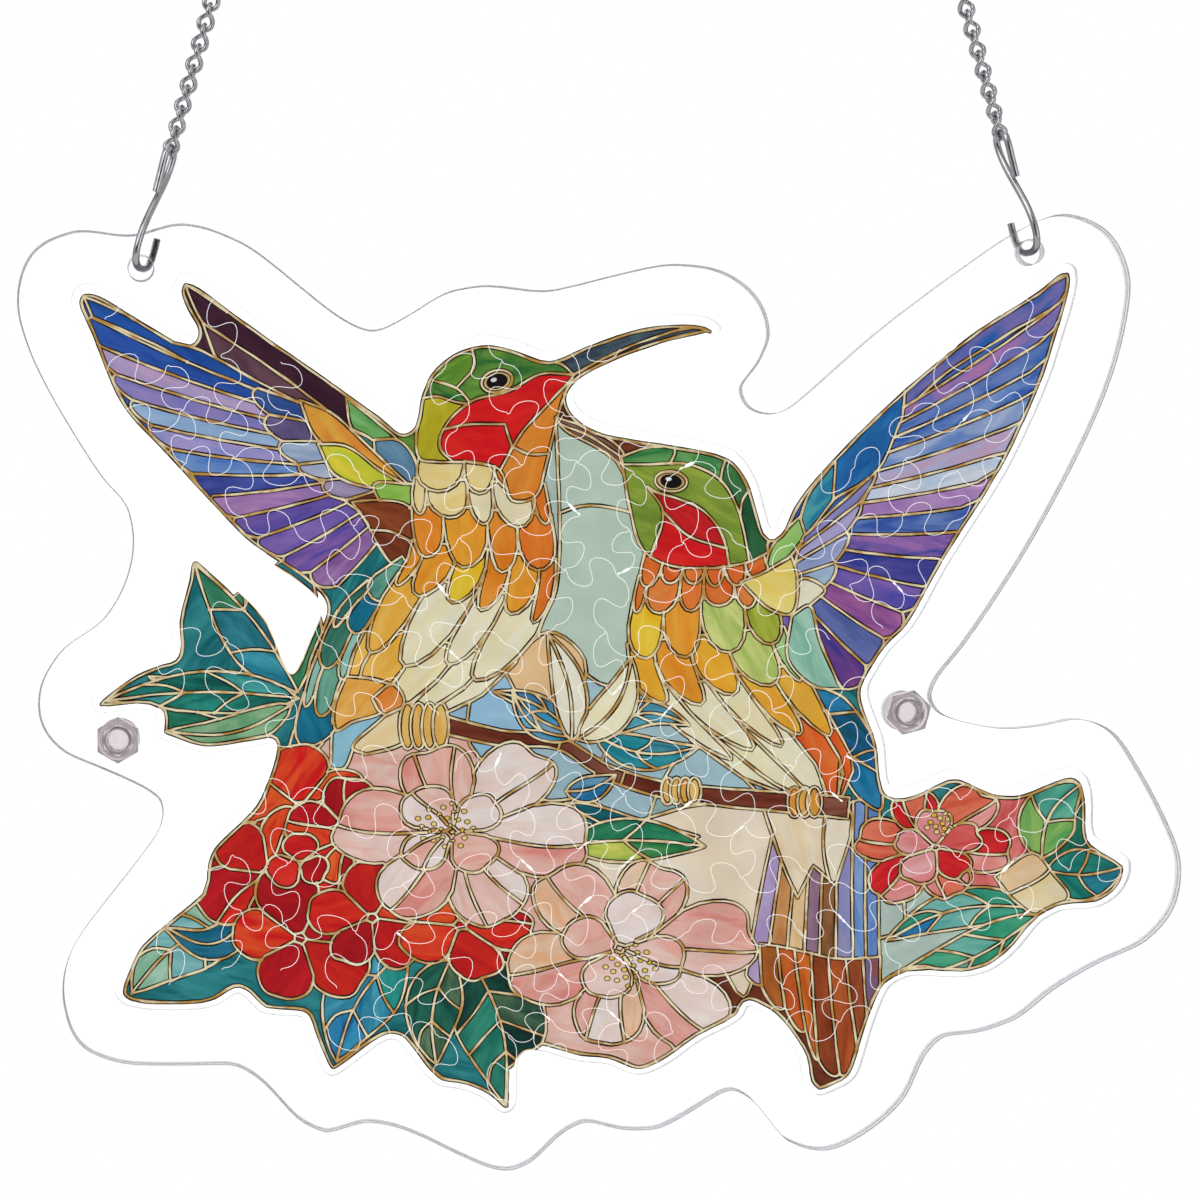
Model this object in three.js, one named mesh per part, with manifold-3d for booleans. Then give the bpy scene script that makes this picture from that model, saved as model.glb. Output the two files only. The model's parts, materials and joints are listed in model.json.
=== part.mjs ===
// Puzzle suncatcher: a jigsaw picture held between clear sheets, hung from two short chains.
// Units are millimetres, +Z is up and the picture faces -Y. The origin lies midway between
// the centres of the two hanging rings. The sheets are drawn in the plate's own plane, where
// each point is [right, up] from the middle of the picture.

import * as THREE from 'three';
import { mergeVertices } from 'three/addons/utils/BufferGeometryUtils.js';
import Module from 'manifold-3d';

const wasm = await Module();
wasm.setup();

// Width of the plate. All that is drawn in its plane is scaled to it.
const PLATE_WIDTH = 234;

// Thickness of each layer, front to back
const FRONT_COVER_THICKNESS = 1;
const FRAME_THICKNESS = 3;
const BACK_COVER_THICKNESS = 2;

// Jigsaw picture in the frame's recess. It has sunk until its lower edges almost touch.
const PUZZLE_PLAY = 0.1;
const PUZZLE_SIDE_CLEARANCE = 0.55;
const PUZZLE_LOWER_CLEARANCE = 0.1;

// Clear plastic screws and nuts
const SCREW_RADIUS = 2.5;
const SCREW_HOLE_CLEARANCE = 0.2;
const SCREW_END_CHAMFER = 0.4;
const SCREW_PAST_NUT = 0.6;
const HEAD_OVERHANG = 1.6;
const HEAD_HEIGHT = 2.6;
const HEAD_EDGE = 0.6;
const HEAD_SLOT_WIDTH = 1.2;
const HEAD_SLOT_DEPTH = 1.1;
const NUT_ACROSS_FLATS = 8;
const NUT_HEIGHT = 4;
const NUT_THREAD_CLEARANCE = 0.15;

// S-hooks, which stand square to the plate but for a small turn
const HOOK_WIRE_RADIUS = 0.75;
const HOOK_HOLE_PLAY = 1.75;
const HOOK_SEAT_GAP = 0.08;
const HOOK_SHEET_GAP = 0.5;
const HOOK_EYE_RADIUS = 2.2;
const HOOK_HEIGHT = 25;
const HOOK_CUT_LEG = 7.4;
const HOOK_TIP_LEG = 2.3;
const HOOK_BEND_SQUARENESS = 2.6;
const HOOK_TURN = THREE.MathUtils.degToRad(20);
const HOOK_LEAN = THREE.MathUtils.degToRad(14.1);

// Twisted curb chain and the ring that ends each strand
const LINK_WIRE_RADIUS = 0.5;
const LINK_PITCH = 4.26;
const LINK_WIDTH = 3.7;
const LINK_TWIST = THREE.MathUtils.degToRad(90);
const LINK_GAP = 0.06;
const STRAND_LEAN = THREE.MathUtils.degToRad(15.4);
const RING_WIRE_RADIUS = 0.7;
const RING_INNER_RADIUS = 5.1;

// Fineness of the facets
const OUTLINE_TOLERANCE = 0.15;
const HOLE_SIDES = 16;
const WIRE_SIDES = 6;
const HOOK_STEPS = 28;
const LINK_STEPS = 12;
const RING_STEPS = 18;

// Drawn places of each side's holes
const SIDES = [
  { name: 'left', side: -1, hole: [-91.6, 66.2], screw: [-96.1, -27.7], nutTurn: 0, links: 9 },
  { name: 'right', side: 1, hole: [87.3, 70.2], screw: [61.9, -22.6], nutTurn: 15, links: 8 },
];

// Edge of the clear plate: a smooth closed curve through these points, clockwise from the left
const PLATE_EDGE = [
  [-116, 60.4], [-113, 69.2], [-105, 73.4], [-93.4, 72.8], [-83.2, 75], [-71.6, 71.4], [-58.8, 61.8],
  [-51, 56], [-45.2, 54], [-38, 57.2], [-31, 61.4], [-22.2, 63], [-11, 62], [0.8, 64.6],
  [15, 67.4], [25.6, 65.6], [32, 60.4], [34.2, 53.6], [32, 47.6], [28.6, 42.4], [30.6, 38.6],
  [35.8, 37.6], [40.6, 40.4], [55.2, 53.2], [76.4, 69], [86.6, 75.4], [94.2, 77.8], [102.8, 74.4],
  [107.2, 66], [106.4, 55], [101.8, 40], [87.8, 12.4], [73.6, -9.2], [68.6, -15.4], [67, -19.6],
  [69, -22.8], [74.4, -24.8], [81.8, -26], [89.6, -25.4], [97.4, -24.2], [103.8, -26.6], [108.4, -32.6],
  [116.6, -48.4], [118, -54.4], [116.6, -62.4], [111, -69], [100.8, -73.8], [92.2, -78.8], [85, -84.4],
  [76.6, -87.4], [69.2, -88.6], [65.4, -92.8], [62, -100], [55.2, -106.6], [45.6, -111], [37.4, -108.6],
  [31.2, -101.2], [26.6, -98.8], [19.6, -102.2], [12, -106.2], [4.4, -106.4], [-3.2, -105], [-8.4, -107.8],
  [-13.6, -112.6], [-19.4, -114.4], [-40, -105.8], [-47.2, -104.6], [-54.4, -106.4], [-60.6, -103.6],
  [-66.6, -97.2], [-72.4, -93.2], [-82, -92.8], [-96.6, -92], [-104, -88.2], [-107.2, -79.2],
  [-105.6, -70], [-92.8, -52.4], [-87.8, -44.8], [-87.8, -40.2], [-91.8, -37], [-99.2, -33.6],
  [-107.6, -29.6], [-111.4, -24.4], [-111.6, -17.4], [-107, -9.6], [-99.8, -4.4], [-95.2, 2.6],
  [-93.2, 11.4], [-94.8, 19.2], [-99.4, 24.6], [-113.4, 49],
];

// Edge of the jigsaw picture, in the same way, clockwise from the tip of the left wing
const PICTURE_EDGE = [
  // left wing's upper edge, the wing behind it, the left head and its beak
  [-104.8, 59.8], [-103.6, 62.2], [-100.6, 62.4], [-92, 57.6], [-82, 52.4], [-81.2, 54.2], [-83, 57.4],
  [-84.6, 61.8], [-83.4, 64.6], [-80.2, 64], [-73.6, 59.2], [-43.8, 38.2], [-39.2, 34.8], [-37.6, 36.4],
  [-37, 40.4], [-34.4, 46.6], [-29, 51], [-22.6, 52.6], [-16, 51.2], [-10.2, 49.4], [-3.2, 52.2],
  [6, 55.4], [15, 56.8], [21.8, 56.2], [23.8, 54.6], [21.6, 53], [15, 51.6], [8.2, 49.4],
  // between the beaks, the right head and the right wing
  [-3.6, 43.8], [-5.6, 41], [-4.6, 38.2], [0, 35.2], [13, 32.8], [27, 29.4], [31.4, 23.2],
  [33.2, 16.8], [34.6, 13.6], [36.4, 15.2], [38.4, 19.6], [42, 24.6], [48.4, 31.6], [57.8, 40.8],
  [76, 55.8], [88, 63.4], [93.4, 67.4], [95.8, 67], [96.2, 63.6], [94, 55.2], [90.8, 45.2],
  [81.8, 25.8], [70, 7.2], [62.8, -5.4], [58.6, -9.6], [55.2, -14.8], [53.8, -18.4], [57, -28.6],
  // right flower and leaves
  [57.6, -34.6], [58.4, -37.8], [60.8, -38.6], [65.4, -37.2], [70, -35], [73.4, -35], [80, -37.8],
  [85.2, -38], [92, -35.4], [96, -34.6], [98.6, -36.4], [99.6, -41.2], [99.6, -45.6], [100.4, -48.4],
  [107, -52.8], [107.2, -55.6], [105, -59.4], [100.8, -61.8], [94, -62.4], [88.8, -65.2], [84.8, -70],
  [79.6, -74.2], [73.4, -75.8], [64, -75.4], [60, -76.6], [57.8, -78.6],
  // tail feathers, then the flowers along the bottom
  [54.4, -87.2], [51.2, -96.2], [47.6, -98.4], [44.2, -99.4], [41.8, -97], [40.8, -92], [35.2, -84],
  [32, -82], [29.8, -81.4], [28.2, -84], [20, -88.4], [14.4, -92.4], [8, -95], [1.6, -92.8],
  [-4, -92.2], [-11, -90.2], [-15, -90], [-16.8, -92], [-17.2, -97.6], [-17.6, -101.6], [-19.4, -102.4],
  [-23, -99.6], [-27, -97.8], [-32, -96.8], [-36, -93.2], [-39.8, -88.2], [-42.6, -87.6], [-51.4, -93.6],
  [-54, -94.6], [-58.2, -85.8], [-59.4, -83], [-62.4, -82.6], [-67.6, -81.8], [-70.8, -78.8],
  [-72.8, -78], [-76.4, -80.2], [-81, -81.2], [-94.6, -80.2], [-96.4, -78], [-95.2, -73.6],
  // left leaves, from the lowest one up
  [-92.6, -68.2], [-88, -63.8], [-82.8, -59.6], [-80, -56.8], [-79.4, -52], [-77.6, -48], [-72.4, -43],
  [-69.6, -40], [-66, -31], [-65.8, -28.2], [-68, -28.4], [-79.2, -29.8], [-84.8, -28], [-88, -26.6],
  [-88, -24], [-88.4, -22], [-92.4, -21.2], [-100.2, -21.6], [-101, -20], [-98.8, -17.6],
  [-92.8, -13.4], [-88, -11.4], [-85.4, -10.6], [-84.8, -8.2], [-85, -3.6], [-83, 4.8], [-82.4, 8.4],
  [-80.6, 9.4], [-76.8, 6.4], [-70.2, 0.2], [-66.4, -4.4], [-62.6, -13.6], [-61.4, -14.2],
  // left wing's lower edge
  [-60.2, -12.8], [-58, -7.6], [-55.6, -1.2], [-56.8, 1.2], [-62, 5.4], [-70, 10.8], [-87.4, 29],
  [-96, 38.6], [-102.4, 53.4],
];

// Depths, from the front face at -Y to the back face at +Y
const STACK = FRONT_COVER_THICKNESS + FRAME_THICKNESS + BACK_COVER_THICKNESS;
const FRONT_FACE = -STACK / 2;
const FRAME_FRONT = FRONT_FACE + FRONT_COVER_THICKNESS;
const FRAME_BACK = FRAME_FRONT + FRAME_THICKNESS;
const BACK_FACE = STACK / 2;

const clearAcrylic = new THREE.MeshStandardMaterial({
  color: 0xf4f7f7, roughness: 0.04, metalness: 0, transparent: true, opacity: 0.25,
});
const clearPlastic = new THREE.MeshStandardMaterial({
  color: 0xe9e2e4, roughness: 0.25, metalness: 0, transparent: true, opacity: 0.6,
});
const printedAcrylic = new THREE.MeshStandardMaterial({ color: 0xd98a4e, roughness: 0.15, metalness: 0 });
const polishedSteel = new THREE.MeshStandardMaterial({ color: 0xc4c6c9, roughness: 0.18, metalness: 1 });

const drawnAcross = PLATE_EDGE.map(([x]) => x);
const PLATE_SCALE = PLATE_WIDTH / (Math.max(...drawnAcross) - Math.min(...drawnAcross));

function toSize([x, z]) {
  return [x * PLATE_SCALE, z * PLATE_SCALE];
}

// A closed smooth curve through the drawn points, cut where it bends more than the tolerance.
function smoothOutline(points) {
  const through = points.map(toSize).map(([x, z]) => new THREE.Vector3(x, z, 0));
  const curve = new THREE.CatmullRomCurve3(through, true, 'centripetal');
  const outline = [];
  const addSpan = (from, start, to, end) => {
    const middle = curve.getPoint((from + to) / 2);
    const chord = new THREE.Line3(start, end).closestPointToPoint(middle, true, new THREE.Vector3());
    if (middle.distanceTo(chord) > OUTLINE_TOLERANCE) {
      addSpan(from, start, (from + to) / 2, middle);
      addSpan((from + to) / 2, middle, to, end);
    } else {
      outline.push(new THREE.Vector2(start.x, start.y));
    }
  };
  points.forEach((_, i) => {
    const from = i / points.length;
    const to = (i + 1) / points.length;
    addSpan(from, curve.getPoint(from), to, curve.getPoint(to));
  });
  return outline;
}

// The outline moved outwards by a distance, each corner along the bisector of its two edges.
// Corners that come to lie almost on the one before, in a tight notch, are left out.
function widenedOutline(outline, distance) {
  const outwards = THREE.ShapeUtils.isClockWise(outline) ? 1 : -1;
  const moved = outline.map((point, i) => {
    const before = outline[(i + outline.length - 1) % outline.length];
    const after = outline[(i + 1) % outline.length];
    const edgeIn = point.clone().sub(before).normalize();
    const edgeOut = after.clone().sub(point).normalize();
    const bisector = new THREE.Vector2(-edgeIn.y - edgeOut.y, edgeIn.x + edgeOut.x).normalize();
    const cosine = bisector.dot(new THREE.Vector2(-edgeIn.y, edgeIn.x));
    return point.clone().addScaledVector(bisector, (outwards * distance) / cosine);
  });
  return moved.filter((point, i) => point.distanceTo(moved.at(i - 1)) > OUTLINE_TOLERANCE);
}

function circle(centre, radius, sides) {
  return Array.from({ length: sides }, (_, i) => {
    const angle = (2 * Math.PI * i) / sides;
    return new THREE.Vector2(centre[0] + radius * Math.cos(angle), centre[1] + radius * Math.sin(angle));
  });
}

// A flat sheet in the plate's plane, from its front face back through its thickness.
function sheetGeometry(outline, holes, front, thickness) {
  const shape = new THREE.Shape(THREE.ShapeUtils.isClockWise(outline) ? outline.toReversed() : outline);
  shape.holes = holes.map((hole) => new THREE.Path(hole));
  const sheet = new THREE.ExtrudeGeometry(shape, { depth: thickness, bevelEnabled: false });
  return sheet.rotateX(Math.PI / 2).translate(0, front + thickness, 0);
}

function toManifold(geometry) {
  const bare = geometry.clone();
  bare.deleteAttribute('normal');
  bare.deleteAttribute('uv');
  const merged = mergeVertices(bare, 1e-4);
  const index = merged.index.array;
  const triangles = [];
  for (let i = 0; i < index.length; i += 3) {
    const [a, b, c] = index.slice(i, i + 3);
    if (a !== b && b !== c && c !== a) triangles.push(a, b, c);
  }
  return new wasm.Manifold(new wasm.Mesh({
    numProp: 3,
    vertProperties: Float32Array.from(merged.attributes.position.array),
    triVerts: Uint32Array.from(triangles),
  }));
}

function fromManifold(solid) {
  const mesh = solid.getMesh();
  const geometry = new THREE.BufferGeometry();
  geometry.setAttribute('position', new THREE.BufferAttribute(mesh.vertProperties, 3));
  geometry.setIndex(new THREE.BufferAttribute(mesh.triVerts, 1));
  geometry.computeVertexNormals();
  return geometry;
}

function named(name, geometry, material) {
  const mesh = new THREE.Mesh(geometry, material);
  mesh.name = name;
  return mesh;
}

// Round-headed screw along Y, its head behind the plate and its end just past the nut.
function screwGeometry() {
  const end = FRONT_FACE - NUT_HEIGHT - SCREW_PAST_NUT;
  const headRadius = SCREW_RADIUS + HEAD_OVERHANG;
  const headTop = BACK_FACE + HEAD_HEIGHT;
  const profile = [
    [0, end], [SCREW_RADIUS - SCREW_END_CHAMFER, end], [SCREW_RADIUS, end + SCREW_END_CHAMFER],
    [SCREW_RADIUS, BACK_FACE], [headRadius, BACK_FACE], [headRadius, headTop - HEAD_EDGE],
    [headRadius - HEAD_EDGE, headTop], [0, headTop],
  ].map(([radius, y]) => new THREE.Vector2(radius, y));
  const turned = toManifold(new THREE.LatheGeometry(profile, HOLE_SIDES));
  const cutter = new THREE.BoxGeometry(4 * headRadius, 2 * HEAD_SLOT_DEPTH, HEAD_SLOT_WIDTH);
  return fromManifold(turned.subtract(toManifold(cutter.translate(0, headTop, 0))));
}

function nutGeometry(turn) {
  const corner = NUT_ACROSS_FLATS / 2 / Math.cos(Math.PI / 6);
  const hexagon = Array.from({ length: 6 }, (_, i) => {
    const angle = THREE.MathUtils.degToRad(90 + 60 * i - turn);
    return new THREE.Vector2(corner * Math.cos(angle), corner * Math.sin(angle));
  });
  const bore = circle([0, 0], SCREW_RADIUS + NUT_THREAD_CLEARANCE, HOLE_SIDES);
  return sheetGeometry(hexagon, [bore], FRONT_FACE - NUT_HEIGHT, NUT_HEIGHT);
}

// S-hook: depth runs from its cut leg in front, over the eye, down behind, across to the front
// of the plate and through the hole to its tip behind. Its lower bend is a squared half circle.
const HOOK_BEND_RADIUS = (STACK / 2 + HOOK_WIRE_RADIUS + HOOK_SHEET_GAP) / Math.cos(HOOK_TURN);

function bendHeight(depth) {
  const share = Math.min(1, Math.abs(depth / HOOK_BEND_RADIUS));
  return HOOK_BEND_RADIUS * (1 - (1 - share ** HOOK_BEND_SQUARENESS) ** (1 / HOOK_BEND_SQUARENESS));
}

function hookPath(side) {
  const eyeCentre = HOOK_HEIGHT - HOOK_EYE_RADIUS;
  const path = [[-HOOK_EYE_RADIUS, eyeCentre - HOOK_CUT_LEG], [-HOOK_EYE_RADIUS, eyeCentre - HOOK_CUT_LEG / 2]];
  for (let i = 0; i <= 6; i += 1) {
    const angle = Math.PI * (1 - i / 6);
    path.push([HOOK_EYE_RADIUS * Math.cos(angle), eyeCentre + HOOK_EYE_RADIUS * Math.sin(angle)]);
  }
  for (let i = 1; i <= 6; i += 1) {
    const share = i / 6;
    const across = THREE.MathUtils.smoothstep(share, 0, 1);
    const depth = THREE.MathUtils.lerp(HOOK_EYE_RADIUS, -HOOK_BEND_RADIUS, across);
    path.push([depth, THREE.MathUtils.lerp(eyeCentre, HOOK_BEND_RADIUS, share)]);
  }
  for (let i = 1; i <= 10; i += 1) {
    const depth = -HOOK_BEND_RADIUS * Math.cos((Math.PI * i) / 10);
    path.push([depth, bendHeight(depth)]);
  }
  path.push([HOOK_BEND_RADIUS, HOOK_BEND_RADIUS + HOOK_TIP_LEG]);
  return path.map(([depth, height]) => new THREE.Vector3(
    -side * depth * Math.sin(HOOK_TURN), depth * Math.cos(HOOK_TURN), height,
  ));
}

function hookGeometry(side) {
  const section = new THREE.Shape(circle([0, 0], HOOK_WIRE_RADIUS, WIRE_SIDES));
  const extrudePath = new THREE.CatmullRomCurve3(hookPath(side), false, 'centripetal');
  return new THREE.ExtrudeGeometry(section, { steps: HOOK_STEPS, extrudePath });
}

// How far the hook's lowest point lies below the hole's centre, so that the hole's upper edge
// rests on the wire where it crosses the two faces of the plate.
function hookSeat() {
  const depth = STACK / 2 / Math.cos(HOOK_TURN);
  const height = bendHeight(depth);
  const slope = (bendHeight(depth * 1.001) - height) / (depth * 0.001);
  const wireAcross = (HOOK_WIRE_RADIUS * Math.hypot(1, slope)) / Math.cos(HOOK_TURN);
  const holeFlat = (HOOK_WIRE_RADIUS + HOOK_HOLE_PLAY) * Math.cos(Math.PI / HOLE_SIDES);
  const reach = holeFlat - HOOK_SEAT_GAP - wireAcross;
  return Math.max(...[-1, 1].map((face) => {
    const aside = face * depth * Math.sin(HOOK_TURN);
    const x = aside * Math.cos(HOOK_LEAN) + height * Math.sin(HOOK_LEAN);
    const z = height * Math.cos(HOOK_LEAN) - aside * Math.sin(HOOK_LEAN);
    return z - Math.sqrt(Math.max(0, reach ** 2 - x ** 2));
  }));
}

// Chain link: a round-ended loop along Z, twisted so that its two ends stand crosswise.
const LINK_BEND_RADIUS = LINK_WIDTH / 2 - LINK_WIRE_RADIUS;
const LINK_HALF_LENGTH = (LINK_PITCH + 2 * LINK_WIRE_RADIUS + LINK_GAP) / 2;

class LinkCurve extends THREE.Curve {
  constructor(side) {
    super();
    this.twist = side * LINK_TWIST;
  }

  getPoint(t, target = new THREE.Vector3()) {
    const straight = 2 * (LINK_HALF_LENGTH - LINK_BEND_RADIUS);
    const quarter = (Math.PI / 2) * LINK_BEND_RADIUS;
    const half = 2 * quarter + straight;
    const along = (t % 1) * 2 * half;
    const run = along < half ? along : 2 * half - along;
    const x = LINK_BEND_RADIUS * Math.sin(Math.min(run, half - run, quarter) / LINK_BEND_RADIUS);
    const rise = LINK_BEND_RADIUS * (1 - Math.cos(Math.min(run, half - run, quarter) / LINK_BEND_RADIUS));
    const lower = rise + Math.max(0, Math.min(run, half / 2) - quarter);
    const z = run <= half / 2 ? lower - LINK_HALF_LENGTH : LINK_HALF_LENGTH - rise
      - Math.max(0, half - run - quarter);
    const turned = this.twist * THREE.MathUtils.smoothstep(z, -LINK_BEND_RADIUS, LINK_BEND_RADIUS);
    const reach = along < half ? x : -x;
    return target.set(reach * Math.cos(turned), reach * Math.sin(turned), z);
  }
}

// One side's hook, chain strand and ring, as nested groups that lean inwards.
function hangingSide({ name, side, hole, links }) {
  const hook = new THREE.Group();
  hook.position.set(hole[0], 0, hole[1] - hookSeat());
  hook.rotation.y = -side * HOOK_LEAN;
  hook.add(named(`hook_${name}`, hookGeometry(side), polishedSteel));

  const strand = new THREE.Group();
  strand.position.z = HOOK_HEIGHT;
  strand.rotation.y = -side * (STRAND_LEAN - HOOK_LEAN);
  const firstLink = LINK_HALF_LENGTH - HOOK_WIRE_RADIUS - LINK_WIRE_RADIUS - LINK_GAP;
  const linkGeometry = new THREE.TubeGeometry(
    new LinkCurve(side), LINK_STEPS, LINK_WIRE_RADIUS, WIRE_SIDES, true,
  );
  for (let i = 0; i < links; i += 1) {
    const link = named(`link_${name}_${i + 1}`, linkGeometry, polishedSteel);
    link.position.z = firstLink + i * LINK_PITCH;
    link.rotation.z = side * HOOK_TURN * (1 - i / (links - 1));
    strand.add(link);
  }

  const ringRadius = RING_INNER_RADIUS + RING_WIRE_RADIUS;
  const ring = named(
    `ring_${name}`,
    new THREE.TorusGeometry(ringRadius, RING_WIRE_RADIUS, WIRE_SIDES, RING_STEPS),
    polishedSteel,
  );
  const lastBend = firstLink + (links - 1) * LINK_PITCH + LINK_HALF_LENGTH;
  ring.position.z = lastBend - LINK_WIRE_RADIUS - RING_WIRE_RADIUS - LINK_GAP + ringRadius;
  ring.rotation.x = Math.PI / 2;
  strand.add(ring);
  hook.add(strand);
  return { hook, ring };
}

const plateEdge = smoothOutline(PLATE_EDGE);
const pictureEdge = smoothOutline(PICTURE_EDGE);
const recessEdge = widenedOutline(pictureEdge, PUZZLE_SIDE_CLEARANCE);
const places = SIDES.map((side) => ({ ...side, hole: toSize(side.hole), screw: toSize(side.screw) }));
const holes = places.flatMap(({ hole, screw }) => [
  circle(hole, HOOK_WIRE_RADIUS + HOOK_HOLE_PLAY, HOLE_SIDES),
  circle(screw, SCREW_RADIUS + SCREW_HOLE_CLEARANCE, HOLE_SIDES),
]);

const suncatcher = new THREE.Group();
suncatcher.add(named(
  'front_cover', sheetGeometry(plateEdge, holes, FRONT_FACE, FRONT_COVER_THICKNESS), clearAcrylic,
));
suncatcher.add(named(
  'middle_frame', sheetGeometry(plateEdge, [...holes, recessEdge], FRAME_FRONT, FRAME_THICKNESS), clearAcrylic,
));
suncatcher.add(named(
  'back_cover', sheetGeometry(plateEdge, holes, FRAME_BACK, BACK_COVER_THICKNESS), clearAcrylic,
));

const puzzleThickness = FRAME_THICKNESS - 2 * PUZZLE_PLAY;
const puzzle = named(
  'puzzle_picture', sheetGeometry(pictureEdge, [], FRAME_FRONT + PUZZLE_PLAY, puzzleThickness), printedAcrylic,
);
puzzle.position.z = PUZZLE_LOWER_CLEARANCE - PUZZLE_SIDE_CLEARANCE;
suncatcher.add(puzzle);

const rings = places.map((place) => {
  const [x, z] = place.screw;
  const screw = named(`screw_${place.name}`, screwGeometry(), clearPlastic);
  const nut = named(`nut_${place.name}`, nutGeometry(place.nutTurn), clearPlastic);
  screw.position.set(x, 0, z);
  nut.position.set(x, 0, z);
  const { hook, ring } = hangingSide(place);
  suncatcher.add(screw, nut, hook);
  return ring;
});

suncatcher.updateMatrixWorld(true);
const [leftRing, rightRing] = rings.map((ring) => ring.getWorldPosition(new THREE.Vector3()));
suncatcher.position.copy(leftRing).add(rightRing).multiplyScalar(-0.5);

export default suncatcher;
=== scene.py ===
"""The dressed puzzle suncatcher: a clear layered plate that holds a jigsaw picture of two birds.

The picture is laid out on a drawing board of 1200 by 1200 units, five to the millimetre, whose
first coordinate runs to the right and whose second runs down. Everything else is in metres in
the row's frame, with X to the right, Y to the back and Z up.
"""

from __future__ import annotations

import json
import logging
import math
from dataclasses import dataclass, field
from enum import Enum
from typing import Callable, Sequence

import bpy
import numpy as np
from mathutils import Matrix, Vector
from mathutils.geometry import delaunay_2d_cdt

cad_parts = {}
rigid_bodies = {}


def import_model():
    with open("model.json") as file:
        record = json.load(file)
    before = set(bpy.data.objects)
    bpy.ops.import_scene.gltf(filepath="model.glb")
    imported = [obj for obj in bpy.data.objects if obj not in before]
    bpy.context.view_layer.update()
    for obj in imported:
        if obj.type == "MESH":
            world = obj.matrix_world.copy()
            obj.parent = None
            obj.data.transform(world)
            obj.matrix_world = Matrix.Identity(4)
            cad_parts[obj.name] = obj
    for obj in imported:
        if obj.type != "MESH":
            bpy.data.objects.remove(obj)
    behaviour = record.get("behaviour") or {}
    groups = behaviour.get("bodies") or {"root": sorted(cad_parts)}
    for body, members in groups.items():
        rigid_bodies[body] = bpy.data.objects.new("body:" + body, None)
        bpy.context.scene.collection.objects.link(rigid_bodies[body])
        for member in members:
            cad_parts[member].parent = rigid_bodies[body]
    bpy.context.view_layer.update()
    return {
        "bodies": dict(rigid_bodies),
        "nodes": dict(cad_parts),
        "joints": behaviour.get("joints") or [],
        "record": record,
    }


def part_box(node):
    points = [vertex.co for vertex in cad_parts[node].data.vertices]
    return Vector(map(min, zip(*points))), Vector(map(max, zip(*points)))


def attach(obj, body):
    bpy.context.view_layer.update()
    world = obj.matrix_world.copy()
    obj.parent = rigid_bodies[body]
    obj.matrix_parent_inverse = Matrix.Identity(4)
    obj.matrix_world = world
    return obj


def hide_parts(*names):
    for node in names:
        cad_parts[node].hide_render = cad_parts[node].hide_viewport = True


LOG = logging.getLogger("suncatcher")
MM = 0.001
TAU = 2 * math.pi
BODY = "root"
SEED = 41
GOLDEN_ANGLE = 2.39996
ACRYLIC_IOR = 1.49

Points = Sequence[tuple[float, float]]


# ---------------------------------------------------------------- planar geometry


def spline(points: Points | np.ndarray, closed: bool = True, per: int = 6) -> np.ndarray:
    """A centripetal Catmull-Rom curve through the points.

    Each span is the cubic Hermite curve between two neighbours, and a point's tangent comes from
    the points on both sides, weighted by the square roots of their distances.

    Args:
        points: The points to pass through.
        closed: Whether the last point joins the first.
        per: Samples on each span.

    Returns:
        The samples as rows of two, without the repeat of the first one.
    """
    p = np.asarray(points, float)
    if closed:
        ring = np.vstack([p[-1], p, p[0], p[1]])
    else:
        ring = np.vstack([2 * p[0] - p[1], p, 2 * p[-1] - p[-2]])
    p0, p1, p2, p3 = ring[:-3], ring[1:-2], ring[2:-1], ring[3:]
    gaps = [np.maximum(np.linalg.norm(b - a, axis=1, keepdims=True), 1e-6) ** 0.5
            for a, b in ((p0, p1), (p1, p2), (p2, p3))]
    d0, d1, d2 = gaps
    m1 = ((p1 - p0) / d0 - (p2 - p0) / (d0 + d1) + (p2 - p1) / d1) * d1
    m2 = ((p2 - p1) / d1 - (p3 - p1) / (d1 + d2) + (p3 - p2) / d2) * d1
    t = np.linspace(0, 1, per, endpoint=False)[None, :, None]
    a, b, c, d = p1[:, None], p2[:, None], m1[:, None], m2[:, None]
    curve = ((2 * t**3 - 3 * t**2 + 1) * a + (t**3 - 2 * t**2 + t) * c
             + (3 * t**2 - 2 * t**3) * b + (t**3 - t**2) * d).reshape(-1, 2)
    return curve if closed else np.vstack([curve, p[-1]])


def travelled(curve: np.ndarray) -> np.ndarray:
    """The way from an open curve's start to each of its points."""
    return np.concatenate([[0], np.cumsum(np.linalg.norm(np.diff(curve, axis=0), axis=1))])


def sampled(curve: np.ndarray, marks: np.ndarray, at: np.ndarray) -> np.ndarray:
    """The curve's points between its marks, each coordinate on straight lines from mark to mark."""
    return np.column_stack([np.interp(at, marks, curve[:, k]) for k in (0, 1)])


def along(curve: np.ndarray, shares: np.ndarray) -> np.ndarray:
    """The points at the given shares of an open curve's length."""
    far = travelled(curve)
    return sampled(curve, far, np.asarray(shares, float) * far[-1])


def quarter_turn(way: np.ndarray) -> np.ndarray:
    """A vector turned from the second axis to the first."""
    return np.array([-way[1], way[0]])


def largest_of_each(group: np.ndarray, size: np.ndarray) -> np.ndarray:
    """The largest member of each group, the first one where several are as large."""
    order = np.argsort(-size, kind="stable")
    return order[np.unique(group[order], return_index=True)[1]]


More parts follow.
